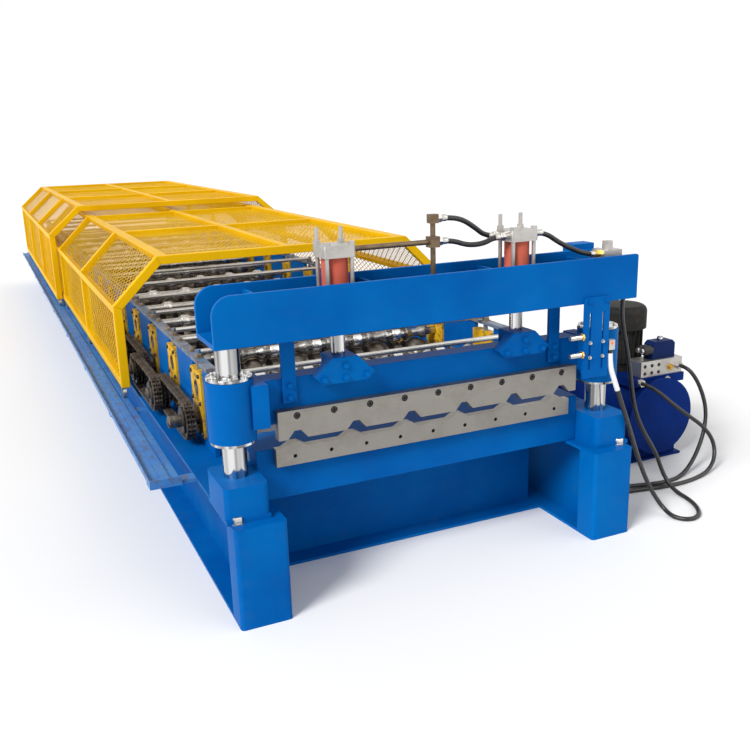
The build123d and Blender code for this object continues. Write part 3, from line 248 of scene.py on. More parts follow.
# Worn paint: paint with chips that show brown steel, and more of it below a height.
# chips = noise step * share + wide noise step * 8 * (height - z)
# colour = mix(mix(faded, paint, slow noise), steel, chips)
def wornPaint(name, paint, faded, steel, share, rough=0.42, stainBelow=-1.0):
    finish = Finish(name)
    slow = finish.step(finish.noise(4.0, 4), 0.34, 0.66)
    wide = finish.step(finish.noise(14.0, 5, roughness=0.7), 0.36, 0.60)
    low = ((stainBelow - finish.along(2)) * 8.0).clipped() * wide
    chips = (finish.step(finish.noise(31.0, 6, (1, 0.5, 1), 0.72), 0.50, 0.62) * share + low).clipped()
    return finish.set(
        Base_Color=finish.between(chips, finish.between(slow, faded, paint), steel),
        Roughness=rough + chips * 0.3,
        Specular_IOR_Level=0.25,
        Normal=finish.bump(chips * -1.0, 0.3, 0.0004),
    )


# Rubber: matt, with scuffs and a weave of fine dots. colour = mix(colour, worn, scuffs)
def rubberSkin(name, colour, worn, rough):
    finish = Finish(name)
    scuffs = finish.step(finish.noise(40.0, 5, roughness=0.7), 0.45, 0.8)
    return finish.set(
        Base_Color=finish.between(scuffs, colour, worn),
        Roughness=rough + scuffs * 0.25,
        Normal=finish.bump(finish.noise(420.0, 2), 0.25, 0.0005),
    )


finishes = {
    "blue": sprayedPaint("blueEnamel", (0.0, 0.122, 0.402), (0.0, 0.078, 0.318), (0.045, 0.125, 0.24)),
    "deepBlue": sprayedPaint(
        "deepBlueEnamel", (0.004, 0.03, 0.205), (0.002, 0.014, 0.105), (0.03, 0.045, 0.09), 0.36
    ),
    "valveBlue": sprayedPaint(
        "valveBlueEnamel", (0.01, 0.024, 0.1), (0.006, 0.01, 0.04), (0.03, 0.03, 0.032), 0.34
    ),
    "yellow": sprayedPaint("yellowEnamel", (0.8, 0.47, 0.004), (0.7, 0.385, 0.003), (0.48, 0.3, 0.06), 0.34),
    "blockYellow": wornPaint(
        "wornYellowPaint", (0.76, 0.44, 0.006), (0.64, 0.35, 0.01), (0.11, 0.062, 0.028), 0.75, stainBelow=0.56
    ),
    "red": sprayedPaint("redEnamel", (0.64, 0.155, 0.1), (0.52, 0.095, 0.06), (0.48, 0.26, 0.19), 0.36),
    "motorGrey": sprayedPaint(
        "motorGreyPaint", (0.03, 0.029, 0.027), (0.017, 0.017, 0.017), (0.12, 0.095, 0.062), 0.46, 0.5
    ),
    "railBlue": wornPaint("wornRailPaint", (0.02, 0.15, 0.47), (0.06, 0.22, 0.5), (0.12, 0.08, 0.05), 0.55),
    "clampBlue": wornPaint("wornClampPaint", (0.075, 0.15, 0.28), (0.17, 0.19, 0.22), (0.11, 0.07, 0.042), 0.85),
    "ground": machinedSteel(
        "groundBladeSteel", (0.285, 0.268, 0.244), (0.16, 0.14, 0.115), 0.36, 0.4, 1.0, 9.0, (0.25, 6, 6)
    ),
    "plated": polishedBar("hardPlating", (0.78, 0.78, 0.78), (0.2, 0.2, 0.2), 0.07),
    "rolls": rollSteel(
        "polishedRollSteel", (0.52, 0.51, 0.49), (0.24, 0.23, 0.215), (0.055, 0.042, 0.031), 0.2, 0.75
    ),
    "brightSteel": machinedSteel("brightRingSteel", (0.8, 0.79, 0.77), (0.42, 0.38, 0.32), 0.2, 0.35),
    "shaftSteel": machinedSteel(
        "turnedShaftSteel", (0.6, 0.585, 0.56), (0.27, 0.24, 0.2), 0.2, 0.45, streak=(0.3, 4, 4)
    ),
    "lowerRolls": rollSteel(
        "greasyRollSteel", (0.24, 0.215, 0.185), (0.1, 0.08, 0.062), (0.022, 0.016, 0.011), 0.3, 1.0
    ),
    "zinc": machinedSteel("zincPlatedFittings", (0.6, 0.585, 0.55), (0.28, 0.24, 0.19), 0.24, 0.45),
    "capSteel": machinedSteel("greyCapSteel", (0.5, 0.48, 0.455), (0.24, 0.215, 0.185), 0.34, 0.5, 0.9),
    "greasy": greasyDirt("greasySteel", (0.016, 0.013, 0.011), (0.07, 0.052, 0.038), 0.7, 0.24),
    "chainSteel": greasyDirt("dustyChainSteel", (0.045, 0.034, 0.026), (0.135, 0.105, 0.08), 0.95, 0.34),
    "barSteel": machinedSteel("rustyBarSteel", (0.24, 0.19, 0.14), (0.11, 0.062, 0.036), 0.42, 0.8, 0.7, 30.0),
    "pipeSteel": machinedSteel(
        "oiledPipeSteel", (0.185, 0.13, 0.078), (0.06, 0.034, 0.018), 0.32, 0.85, 0.7, 36.0
    ),
    "black": machinedSteel("blackenedSteel", (0.035, 0.035, 0.037), (0.06, 0.05, 0.04), 0.36, 0.5, 0.6),
    "hose": rubberSkin("hoseRubber", (0.01, 0.01, 0.01), (0.04, 0.034, 0.028), 0.34),
    "whiteSleeve": rubberSkin("whiteCableSleeve", (0.78, 0.78, 0.78), (0.6, 0.6, 0.59), 0.4),
    "brass": machinedSteel("brassFitting", (0.72, 0.45, 0.09), (0.34, 0.19, 0.05), 0.22, 0.4),
    # bore: near-black matt discs set into holes and ports, painted shade in the openings
    "bore": rubberSkin("paintedHoleShade", (0.006, 0.006, 0.006), (0.018, 0.014, 0.011), 0.6),
}
finishes["signal"] = Finish("signalLamp").set(
    Base_Color=(0.9, 0.05, 0.02), Emission_Color=(1.0, 0.10, 0.03), Emission_Strength=1.2, Roughness=0.25
)
print("finishes made:", len(finishes))


# mesh helpers
# A mesh from whole arrays. Points are rows of x, y, z, and faces is a list of arrays of point numbers.
def meshOf(name, points, faces):
    mesh = bpy.data.meshes.new(name)
    mesh.from_pydata(points, [], [row for group in faces for row in group.tolist()])
    mesh.update()
    return mesh


# A piece of the scene: a mesh with its finish, riding on a body of the machine.
def newPiece(name, points, faces, finish, body, smooth=None, stands=()):
    mesh = meshOf(name, points, faces)
    if smooth is not None:
        mesh.shade_smooth()
        mesh.set_sharp_from_angle(angle=math.radians(smooth))
    mesh.materials.append(finishes[finish])
    piece = placed(name, mesh)
    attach(piece, body)
    if stands:
        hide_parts(*stands)
    return piece


# The four-sided faces between rings of points that follow one another, and the numbers round one ring.
def ringFaces(count, sides):
    around = np.arange(sides)
    after = (around + 1) % sides
    rows = np.arange(count - 1)[:, None] * sides
    corners = [rows + around, rows + after, rows + sides + after, rows + sides + around]
    return around, after, np.stack(corners, -1).reshape(-1, 4)


# A closed solid of revolution about z. Each point is (r cos a, r sin a, z), for profile rows of (r, z) from the
# bottom up. The ends close on a pole each, level with the first and last row unless poles gives their heights.
def turnedProfile(profile, sides, poles=None):
    rings = np.asarray(profile, float)
    angles = np.arange(sides) * 2 * np.pi / sides
    x = rings[:, :1] * np.cos(angles)
    y = rings[:, :1] * np.sin(angles)
    z = np.repeat(rings[:, 1:2], sides, axis=1)
    ends = [[0, 0, height] for height in poles or (rings[0, 1], rings[-1, 1])]
    points = np.vstack([np.stack([x, y, z], -1).reshape(-1, 3), ends])
    around, after, quads = ringFaces(len(rings), sides)
    last = (len(rings) - 1) * sides
    bottom = np.stack([after, around, np.full(sides, len(points) - 2)], -1)
    top = np.stack([last + around, last + after, np.full(sides, len(points) - 1)], -1)
    return points, [quads, bottom, top]


# Turns a shape that stands on z so that it stands on another axis.
def pointed(points, axis):
    x, y, z = points.T
    columns = {
        "+z": (x, y, z),
        "+x": (z, x, y),
        "-x": (-z, x, -y),
        "+y": (y, z, x),
        "-y": (-y, -z, x),
    }
    return np.stack(columns[axis], -1)


# The same shape at every place: points plus each place, and face numbers shifted by whole copies.
def repeated(points, faces, places):
    places = np.asarray(places, float)
    allPoints = (places[:, None, :] + points[None, :, :]).reshape(-1, 3)
    shift = np.arange(len(places))[:, None, None] * len(points)
    return allPoints, [(group[None] + shift).reshape(-1, group.shape[1]) for group in faces]


# Several shapes as one: points stacked, and face numbers shifted by the points before them.
def joined(shapes):
    points, faces, before = [], [], 0
    for shapePoints, shapeFaces in shapes:
        points.append(shapePoints)
        faces += [group + before for group in shapeFaces]
        before += len(shapePoints)
    return np.vstack(points), faces


# shares of a head's height or radius
hexagon = {"shoulder": 0.86, "crown": 0.88, "washer": 1.18}
capHead = {"shoulder": 0.80, "crown": 0.86, "socketFloor": 0.45, "socketTaper": 0.96}


# A hexagon head: six sides with the top edge cut back, on a thin round washer if it has one.
def hexHead(acrossFlats, height, washer=0.0):
    r = acrossFlats / 2 / math.cos(math.pi / 6)
    shoulder, top = washer + height * hexagon["shoulder"], washer + height
    shapes = [turnedProfile([(r, washer), (r, shoulder), (r * hexagon["crown"], top)], 6)]
    if washer:
        rim = r * hexagon["washer"]
        shapes.append(turnedProfile([(rim, 0), (rim, washer)], 18))
    return joined(shapes)


# A cap screw: a drum with its rim cut back and a round socket sunk in its top.
def roundHead(radius, height, socket):
    floor = height * capHead["socketFloor"]
    rim = [(radius, 0), (radius, height * capHead["shoulder"]), (radius * capHead["crown"], height)]
    return turnedProfile([*rim, (socket, height), (socket * capHead["socketTaper"], floor)], 18)


# Copies of one shape as one piece: turned from z to an axis, then moved to every place.
def bolts(name, shape, axis, places, finish, body="frame"):
    points, faces = repeated(pointed(shape[0], axis), shape[1], places)
    return newPiece(name, points, faces, finish, body, smooth=40)


# finishes on the machine's own parts
coverFrames = [f"{cover}_cover_{part}" for cover in ("front", "rear") for part in ("sides", "slopes", "roof")]
nodeFinishes = {
    "blue": [
        "side_beams", "cross_beams", "column_bases", "bed_beam", "stand_walls", "limit_box", "sensor_strip",
        "die_beam", "guide_sleeves", "rod_brackets", "head_straps",
        "top_beam_front_plate", "top_beam_rear_plate", "top_beam_floor",
    ],
    "railBlue": ["cover_rails"],
    "clampBlue": ["clamp_bars"],
    "deepBlue": ["oil_tank"],
    "valveBlue": ["control_valve"],
    "yellow": coverFrames,
    "blockYellow": ["bearing_blocks"],
    "red": ["cylinder_barrels"],
    "ground": ["upper_blade", "lower_blade"],
    "capSteel": ["cylinder_heads", "valve_block", "hose_manifold"],
    "zinc": ["stay_rods", "hose_unions", "front_cover_wheels", "rear_cover_wheels"],
    "plated": ["guide_columns", "sleeve_rings", "piston_rods"],
    "rolls": ["upper_rolls_1", "upper_rolls_2", "rear_upper_rolls"],
    "lowerRolls": ["rear_lower_rolls"],
    "pipeSteel": ["feed_pipes"],
    "motorGrey": ["pump_motor"],
}
for finish, names in nodeFinishes.items():
    for name in names:
        nodes[name].data.materials.clear()
        nodes[name].data.materials.append(finishes[finish])
print("machine parts painted")

# rounded edges on the machine's own parts
roundedEdges = {
    "side_beams": 0.002, "cross_beams": 0.002, "column_bases": 0.003, "bed_beam": 0.003, "die_beam": 0.002,
    "guide_sleeves": 0.002, "rod_brackets": 0.002, "top_beam_front_plate": 0.0025,
    "top_beam_rear_plate": 0.0025, "top_beam_floor": 0.0015, "head_straps": 0.0012, "sensor_strip": 0.0012,
    "stand_walls": 0.0015, "bearing_blocks": 0.003, "clamp_bars": 0.0012, "upper_blade": 0.0008,
    "lower_blade": 0.0008, "oil_tank": 0.002, "pump_motor": 0.0012, "valve_block": 0.0015,
    "control_valve": 0.003, "cylinder_heads": 0.0012, "sleeve_rings": 0.0015, "limit_box": 0.0015,
    **dict.fromkeys(coverFrames, 0.003), "hose_manifold": 0.0015,
}
edgeLook = {"merge": 1e-5, "flatTurn": 0.5, "smoothTurn": 30, "sharpTurn": 40, "segments": 2}


# screw holes in the blades and bearing seats in the blocks
stationPlan = {"first": 0.427, "pitch": 0.455, "count": 16, "blockFace": 0.674, "blockTop": 0.700}
stations = stationPlan["first"] + stationPlan["pitch"] * np.arange(stationPlan["count"])
bladeBolts = {
    "pitch": 0.129375, "count": 9, "upperLevel": 0.655, "lowerLevel": 0.503,
    "radius": 0.0100, "head": 0.009, "socket": 0.0050, "bore": 0.0118, "thread": 0.0066,
}
bladeXs = (np.arange(bladeBolts["count"]) - (bladeBolts["count"] - 1) / 2) * bladeBolts["pitch"]
bearingSeat = {"level": 0.580, "radius": 0.036, "depth": 0.010}
seatFloor = stationPlan["blockFace"] - bearingSeat["depth"]
bothSides = {"Left": (-1, "-x"), "Right": (1, "+x")}


# A round bar from a place along an axis, as a shape of its own.
def roundBar(place, axis, radius, length):
    points, faces = turnedProfile([(radius, 0), (radius, length)], 24)
    return pointed(points, axis) + place, faces


# each bar reaches a little past the face that it cuts
holes = {
    "upper_blade": [
        roundBar((x, -0.3285, bladeBolts["upperLevel"]), "+y", bladeBolts["bore"], 0.0105) for x in bladeXs
    ],
    "lower_blade": [
        roundBar((x, -0.2885, bladeBolts["lowerLevel"]), "+y", bladeBolts["thread"], 0.0155) for x in bladeXs
    ],
    "bearing_blocks": [
        roundBar((s * seatFloor, y, bearingSeat["level"]), axis, bearingSeat["radius"], 0.03)
        for s, axis in bothSides.values()
        for y in stations
    ],
}


# The mesh with the shapes taken out of it, by the exact boolean.
def drilled(mesh, shapes):
    pair = [placed("drilledCopy", mesh), placed("drill", meshOf("tool", *joined(shapes)))]
    cut = pair[0].modifiers.new("drill", "BOOLEAN")
    cut.object, cut.operation, cut.solver = pair[1], "DIFFERENCE", "EXACT"
    bpy.context.view_layer.update()
    result = bpy.data.meshes.new_from_object(pair[0].evaluated_get(bpy.context.evaluated_depsgraph_get()))
    for piece in pair:
        bpy.data.objects.remove(piece)
    return result


# A merged copy of a machine part, flat faces made whole again, with its sharp edges rounded.
def roundEdges(name, width):
    mesh = nodes[name].data.copy()
    shape = bmesh.new()
    shape.from_mesh(mesh)
    bmesh.ops.remove_doubles(shape, verts=shape.verts, dist=edgeLook["merge"])
    flat = math.radians(edgeLook["flatTurn"])
    bmesh.ops.dissolve_limit(shape, angle_limit=flat, verts=shape.verts, edges=shape.edges)
    shape.to_mesh(mesh)
    shape.free()
    if name in holes:
        mesh = drilled(mesh, holes[name])
    words = name.split("_")
    piece = placed(words[0] + "".join(word.title() for word in words[1:]), mesh)
    mesh.shade_smooth()
    mesh.set_sharp_from_angle(angle=math.radians(edgeLook["smoothTurn"]))
    bevel = piece.modifiers.new("roundedEdges", "BEVEL")
    bevel.width, bevel.segments, bevel.limit_method = width, edgeLook["segments"], "ANGLE"
    bevel.angle_limit = math.radians(edgeLook["sharpTurn"])
    bevel.harden_normals = True
    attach(piece, bodyOf[name])
    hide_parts(name)


for name, width in roundedEdges.items():
    roundEdges(name, width)
print("edges rounded on", len(roundedEdges), "parts")

# hoses and cable
hoseLook = {"skin": "hose", "smoothness": 8, "bevelSteps": 5}
hoses = {
    "upperPressureHose": {
        "stands": "upper_hose", "width": 0.018, "length": 0.271, "lay": "taut",
        "route": [
            (0.027, -0.278, 1.246), (0.072, -0.278, 1.246), (0.128, -0.270, 1.236), (0.182, -0.260, 1.206),
            (0.232, -0.256, 1.169), (0.278, -0.256, 1.169),
        ],
    },
    "lowerPressureHose": {
        "stands": "lower_hose", "width": 0.018, "length": 0.255, "lay": "taut",
        "route": [
            (0.030, -0.278, 1.169), (0.084, -0.278, 1.169), (0.140, -0.286, 1.148), (0.198, -0.296, 1.150),
            (0.240, -0.300, 1.169), (0.278, -0.300, 1.169),
        ],
    },
    "endPressureHose": {
        "stands": "end_hose", "width": 0.018, "length": 0.284, "lay": "taut",
        "route": [
            (0.414, -0.278, 1.169), (0.462, -0.278, 1.169), (0.520, -0.288, 1.128), (0.578, -0.304, 1.098),
            (0.630, -0.318, 1.080), (0.672, -0.318, 1.080),
        ],
    },
    "sensorCable": {
        "stands": "sensor_cable", "width": 0.018, "length": 2.461, "lay": "hanging",
        "route": [
            (0.752, -0.318, 1.040), (0.804, -0.318, 1.040), (0.844, -0.298, 0.984), (0.852, -0.252, 0.906),
            (0.878, -0.216, 0.820), (0.912, -0.198, 0.730), (0.944, -0.190, 0.632), (0.966, -0.186, 0.540),
            (0.985, -0.182, 0.452), (1.012, -0.178, 0.370), (1.057, -0.173, 0.290), (1.112, -0.166, 0.216),
            (1.160, -0.156, 0.150), (1.186, -0.158, 0.086), (1.194, -0.194, 0.034), (1.196, -0.248, 0.009),
            (1.188, -0.326, 0.009), (1.160, -0.404, 0.009), (1.110, -0.468, 0.009), (1.046, -0.482, 0.009),
            (1.006, -0.432, 0.009), (1.010, -0.362, 0.026), (0.964, -0.338, 0.106), (0.897, -0.350, 0.222),
            (0.822, -0.382, 0.352), (0.768, -0.404, 0.452), (0.730, -0.408, 0.536), (0.700, -0.408, 0.612),
            (0.672, -0.407, 0.680), (0.672, -0.407, 0.740),
        ],
    },
    "valveHose": {
        "stands": "valve_hose", "width": 0.018, "length": 1.259, "lay": "loose",
        "route": [
            (1.500, 0.092, 0.450), (1.500, 0.050, 0.450), (1.520, 0.014, 0.408), (1.552, -0.004, 0.330),
            (1.560, -0.024, 0.250), (1.538, -0.042, 0.168), (1.486, -0.064, 0.090), (1.416, -0.090, 0.032),
            (1.340, -0.118, 0.009), (1.262, -0.138, 0.009), (1.180, -0.132, 0.009), (1.100, -0.110, 0.009),
            (1.020, -0.094, 0.009), (0.940, -0.090, 0.009), (0.866, -0.092, 0.014), (0.800, -0.092, 0.040),
            (0.750, -0.092, 0.060), (0.7195, -0.092, 0.060),
        ],
    },
    "deckHose": {
        "stands": "deck_hose", "width": 0.018, "length": 1.381, "lay": "loose",
        "route": [
            (1.276, 0.085, 0.396), (1.276, 0.046, 0.396), (1.312, 0.010, 0.366), (1.378, -0.008, 0.306),
            (1.448, -0.030, 0.250), (1.516, -0.058, 0.196), (1.558, -0.084, 0.126), (1.544, -0.112, 0.056),
            (1.484, -0.138, 0.016), (1.410, -0.160, 0.009), (1.336, -0.176, 0.009), (1.260, -0.181, 0.009),
            (1.180, -0.174, 0.009), (1.100, -0.156, 0.009), (1.020, -0.143, 0.009), (0.940, -0.138, 0.009),
            (0.866, -0.140, 0.014), (0.800, -0.140, 0.040), (0.750, -0.140, 0.060), (0.7195, -0.140, 0.060),
        ],
    },
}


# A smooth line drawn along by the route's points, as a round tube where it has a depth.
def routeCurve(name, route, depth):
    curve = bpy.data.curves.new(name, "CURVE")
    curve.dimensions = "3D"
    line = curve.splines.new("NURBS")
    line.points.add(len(route) - 1)
    for point, place in zip(line.points, route):
        point.co = (*place, 1)
    line.order_u = 3
    line.use_endpoint_u = True
    curve.resolution_u = curve.render_resolution_u = hoseLook["smoothness"]
    curve.bevel_depth = depth
    curve.bevel_resolution = hoseLook["bevelSteps"]
    curve.use_fill_caps = depth > 0
    return placed(name, curve)


for name, plan in hoses.items():
    hose = routeCurve(name, plan["route"], plan["width"] / 2)
    hose.data.materials.append(finishes[hoseLook["skin"]])
    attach(hose, "frame")
    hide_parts(plan["stands"])
print("hoses laid:", len(hoses))


# Rings of points square to a line: centre + (cos a) side + (sin a) other, with the two ends closed.
def tubeAlong(line, radius, sides):
    ahead = np.gradient(line, axis=0)
    ahead /= np.linalg.norm(ahead, axis=1, keepdims=True)
    side = np.cross(ahead, [0.31, 0.95, 0.05])
    side /= np.linalg.norm(side, axis=1, keepdims=True)
    other = np.cross(ahead, side)
    angles = np.arange(sides) * 2 * np.pi / sides
    out = np.cos(angles)[None, :, None] * side[:, None] + np.sin(angles)[None, :, None] * other[:, None]
    rings = line[:, None] + radius * out
    around, _, quads = ringFaces(len(line), sides)
    last = (len(line) - 1) * sides
    return rings.reshape(-1, 3), [quads, around[None, ::-1].copy(), (last + around)[None]]


# white sleeve on the last stretch of the cable, up to its gland
whiteSleeve = {"radius": 0.0098, "lowEnd": 0.575, "highEnd": 0.736}
guide = routeCurve("sleeveGuide", hoses["sensorCable"]["route"], 0)
guideMesh = bpy.data.meshes.new_from_object(guide)
linePoints = np.array([vertex.co for vertex in guideMesh.vertices])
bpy.data.objects.remove(guide)
tail = linePoints[int(len(linePoints) * 0.7):]
tail = tail[(tail[:, 2] > whiteSleeve["lowEnd"]) & (tail[:, 2] < whiteSleeve["highEnd"])]
points, faces = tubeAlong(tail, whiteSleeve["radius"], 14)
newPiece("whiteCableSleeve", points, faces, "whiteSleeve", "frame", smooth=50)

# bolts, nuts and screws
capScrew = roundHead(bladeBolts["radius"], bladeBolts["head"], bladeBolts["socket"])
spots = [(x, -0.318, bladeBolts["upperLevel"]) for x in bladeXs]
bolts("upperBladeBolts", capScrew, "-y", spots, "black", "cutter_head")
dot = turnedProfile([(1, 0), (1, 1)], 20)
# near-black discs at the bottom of the lower blade's threaded holes: painted shade in the holes
holeShadeRadius = bladeBolts["thread"] * 1.02
threadHoleShade = (dot[0] * (holeShadeRadius, holeShadeRadius, 0.003), dot[1])
spots = [(x, -0.2735, bladeBolts["lowerLevel"]) for x in bladeXs]
bolts("lowerBladeHoleShade", threadHoleShade, "-y", spots, "bore")
print("blade bolts placed")

levelBolt = hexHead(0.036, 0.020, 0.004)
bolts("levellingBolts", levelBolt, "+z", [(s * 0.752, -0.378, 0.350) for s in (-1, 1)], "zinc")
barX, barTop = 0.654, stationPlan["blockTop"]
clampSpots = [(s * barX, y, barTop) for s in (-1, 1) for y in stations]
bolts("clampScrewNuts", hexHead(0.030, 0.015, 0.002), "+z", clampSpots, "barSteel")
betweenStations = (stations[:-1] + stations[1:]) / 2
barSpots = [(s * barX, y + d, barTop) for s in (-1, 1) for y in betweenStations for d in (-0.11, 0.11)]
bolts("clampBarBolts", hexHead(0.019, 0.012, 0.0025), "+z", barSpots, "barSteel")
seatR = bearingSeat["radius"]
seatRing = turnedProfile([(seatR, 0), (seatR, 0.0095), (seatR * 0.86, 0.0105), (seatR * 0.82, 0.003)], 28)
# a near-black disc inside each seat ring, round the shaft end: painted shade in the bore
seatShadeDisc = (dot[0] * (seatR * 0.80, seatR * 0.80, 0.004), dot[1])
seatPin = turnedProfile([(0.013, 0.004), (0.013, 0.007), (0.011, 0.008)], 20)
for name, (side, axis) in bothSides.items():
    spots = [(side * seatFloor, y, bearingSeat["level"]) for y in stations]
    bolts("bearingRings" + name, seatRing, axis, spots, "barSteel")
    bolts("bearingBores" + name, seatShadeDisc, axis, spots, "bore")
    bolts("shaftEnds" + name, seatPin, axis, spots, "greasy")
blockScrew = roundHead(0.008, 0.008, 0.004)
blockScrewSpots = [(a, z) for a in (-0.062, 0.062) for z in (0.405, 0.530, 0.640)]
for name, (side, axis) in bothSides.items():
    spots = [(side * stationPlan["blockFace"], y + a, z) for y in stations for a, z in blockScrewSpots]
    bolts("blockScrews" + name, blockScrew, axis, spots, "black")
stripBolt = hexHead(0.010, 0.006, 0.0015)
stripFace = -0.412
slotSpots = [(x, stripFace, z) for x in (0.576, 0.632) for z in (0.776, 0.722)]
bolts("sensorSlotBolts", stripBolt, "-y", slotSpots, "zinc")
stripSpots = [(x, stripFace, 0.925) for x in (0.568, 0.640)]
bolts("sensorStripBolts", stripBolt, "-y", stripSpots, "blue")
strapSpots = [(x, -0.305, z) for x in (-0.530, 0.496) for z in (0.712, 0.752)]
bolts("headStrapBolts", hexHead(0.016, 0.009, 0.002), "-y", strapSpots, "blue", "cutter_head")
bracketSpots = ((-0.075, 0.762), (0, 0.762), (0.075, 0.762), (0, 0.802))
spots = [(s * 0.346 + d, -0.338, z) for s in (-1, 1) for d, z in bracketSpots]
bolts("rodBracketBolts", hexHead(0.018, 0.010, 0.002), "-y", spots, "blue", "cutter_head")
sleeveX, sleeveY, sleeveTop, screwCircle = 0.718, -0.274, 0.805, 0.060
circle = [(screwCircle * math.cos(a), screwCircle * math.sin(a)) for a in np.arange(6) * np.pi / 3 + 0.3]
spots = [(s * sleeveX + u, sleeveY + v, sleeveTop) for s in (-1, 1) for u, v in circle]
bolts("sleeveRingScrews", roundHead(0.006, 0.006, 0.003), "+z", spots, "zinc", "cutter_head")

# nuts and ferrules where the pressure hoses meet their ports
pressureRoutes = [hoses[place + "PressureHose"]["route"] for place in ("upper", "lower", "end")]
rightPorts = [route[0] for route in pressureRoutes]
leftPorts, inlet = [route[-1] for route in pressureRoutes[:2]], pressureRoutes[2][-1]
portNut = hexHead(0.027, 0.016)
bolts("portNutsRight", portNut, "+x", rightPorts, "zinc")
bolts("portNutsLeft", portNut, "-x", leftPorts, "zinc")
bolts("manifoldInletNut", portNut, "-x", [inlet], "brass")
bolts("manifoldOutletNut", portNut, "+x", [hoses["sensorCable"]["route"][0]], "brass")
ferrule = turnedProfile([(0.0100, 0.015), (0.0118, 0.018), (0.0118, 0.034), (0.0104, 0.037)], 20)
bolts("hoseFerrulesRight", ferrule, "+x", rightPorts, "zinc")
bolts("hoseFerrulesLeft", ferrule, "-x", [*leftPorts, inlet], "zinc")
print("nuts and screws placed")

# sensors: a threaded barrel with a nut on it
sensor = {
    "left": 0.491, "y": -0.407, "levels": (0.800, 0.735), "nut": 0.540,
    "length": 0.058, "thread": 0.0020, "radius": 0.0090, "core": 0.0082,
}
threads = np.arange(0.004, 0.056, sensor["thread"] / 2)
threadRadii = np.where(np.arange(len(threads)) % 2 == 0, sensor["radius"], sensor["radius"] - 0.0008)
core, length = sensor["core"], sensor["length"]
barrel = turnedProfile([(core, 0), (core, 0.004), *zip(threadRadii, threads), (core, length)], 20)
spots = [(sensor["left"], sensor["y"], level) for level in sensor["levels"]]
piece = bolts("sensorBarrels", barrel, "+x", spots, "zinc")
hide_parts("proximity_sensors")
spots = [(sensor["nut"], sensor["y"], level) for level in sensor["levels"]]
bolts("sensorNuts", hexHead(0.0242, 0.009), "+x", spots, "brass")
lampRadius, domeAngles = 0.0052, np.radians([0, 20, 40, 60, 80])
dome = np.stack([lampRadius * np.cos(domeAngles), lampRadius * np.sin(domeAngles)], -1)
lampDome = turnedProfile(dome, 16, poles=(-0.001, lampRadius))
bolts("signalLamp", lampDome, "-y", [(0.672, -0.417, 0.764)], "signal")

# ports and plugs on the valve, the ports as near-black discs of painted shade in their openings, and its bright knob
portPlug = hexHead(0.022, 0.010, 0.002)
valveFace, coilYs = 0.117, (0.148, 0.176)
bolts("valvePlug", portPlug, "-y", [(1.459, valveFace, 0.444)], "brass")
bolts("deckPlug", portPlug, "-y", [(1.440, 0.110, 0.391)], "zinc")
# flat near-black discs flush with the valve face: painted shade in the port openings
portShadeDisc = turnedProfile([(0.0085, -0.001), (0.0085, 0.0008)], 20)
spots = [(x, valveFace, z) for x in (1.312, 1.352, 1.392) for z in (0.430, 0.464)]
bolts("portOpeningShade", portShadeDisc, "-y", spots, "bore")
coil = turnedProfile([(0.021, -0.001), (0.021, 0.040), (0.018, 0.044)], 24)
bolts("valveCoils", coil, "-x", [(1.365, y, 0.530) for y in coilYs], "black")
bolts("valveCoilNuts", hexHead(0.022, 0.012), "-x", [(1.322, y, 0.530) for y in coilYs], "zinc")
knobSide = [(0.0126, -0.001), (0.0136, 0.004), (0.0136, 0.010), (0.0110, 0.0150), (0.006, 0.0168)]
knobCap = turnedProfile(knobSide, 24, poles=(-0.001, 0.0172))
bolts("valveKnobCap", knobCap, "+z", [(1.430, 0.162, 0.568)], "plated")
print("fittings placed")

# rolls
rollPlan = {
    "ribs": 6, "pitch": 0.207, "foot": 0.085, "head": 0.025, "rim": 0.008, "ribHeight": 0.014,
    "radius": 0.080, "collar": 0.040, "half": 0.600, "journal": 0.025, "coveredEnd": 0.634,
    "lowerLevel": 0.455, "upperLevel": 0.573,
}
lowerLevel, upperLevel = rollPlan["lowerLevel"], rollPlan["upperLevel"]
half, journal, end = rollPlan["half"], rollPlan["journal"], rollPlan["coveredEnd"]


# Rows of radius and place along a roll. A rib rises from the foot to the head as half a cosine wave:
# radius + height * (1 - cos(pi t)) / 2, with t from 0 at the foot to 1 at the head.
def rollRows(shaft, samples):
    radius, height, rows = rollPlan["radius"], rollPlan["ribHeight"], []
    t = np.linspace(0, 1, samples)
    rise = radius + height * (1 - np.cos(np.pi * t)) / 2
    out = rollPlan["foot"] / 2 + (rollPlan["head"] - rollPlan["foot"]) / 2 * t
    for number in range(rollPlan["ribs"]):
        x = (number - (rollPlan["ribs"] - 1) / 2) * rollPlan["pitch"]
        rim = rollPlan["foot"] / 2 + rollPlan["rim"]
        wave = [*zip(rise, x - out), *zip(rise[::-1], x + out[::-1])]
        rows += [(shaft, x - rim), (radius, x - rim), *wave, (radius, x + rim), (shaft, x + rim)]
        if number + 1 < rollPlan["ribs"]:
            flat, c = x + rollPlan["pitch"] / 2, rollPlan["collar"] / 2
            rows += [(shaft, flat - c), (radius, flat - c), (radius, flat + c), (shaft, flat + c)]
    return rows


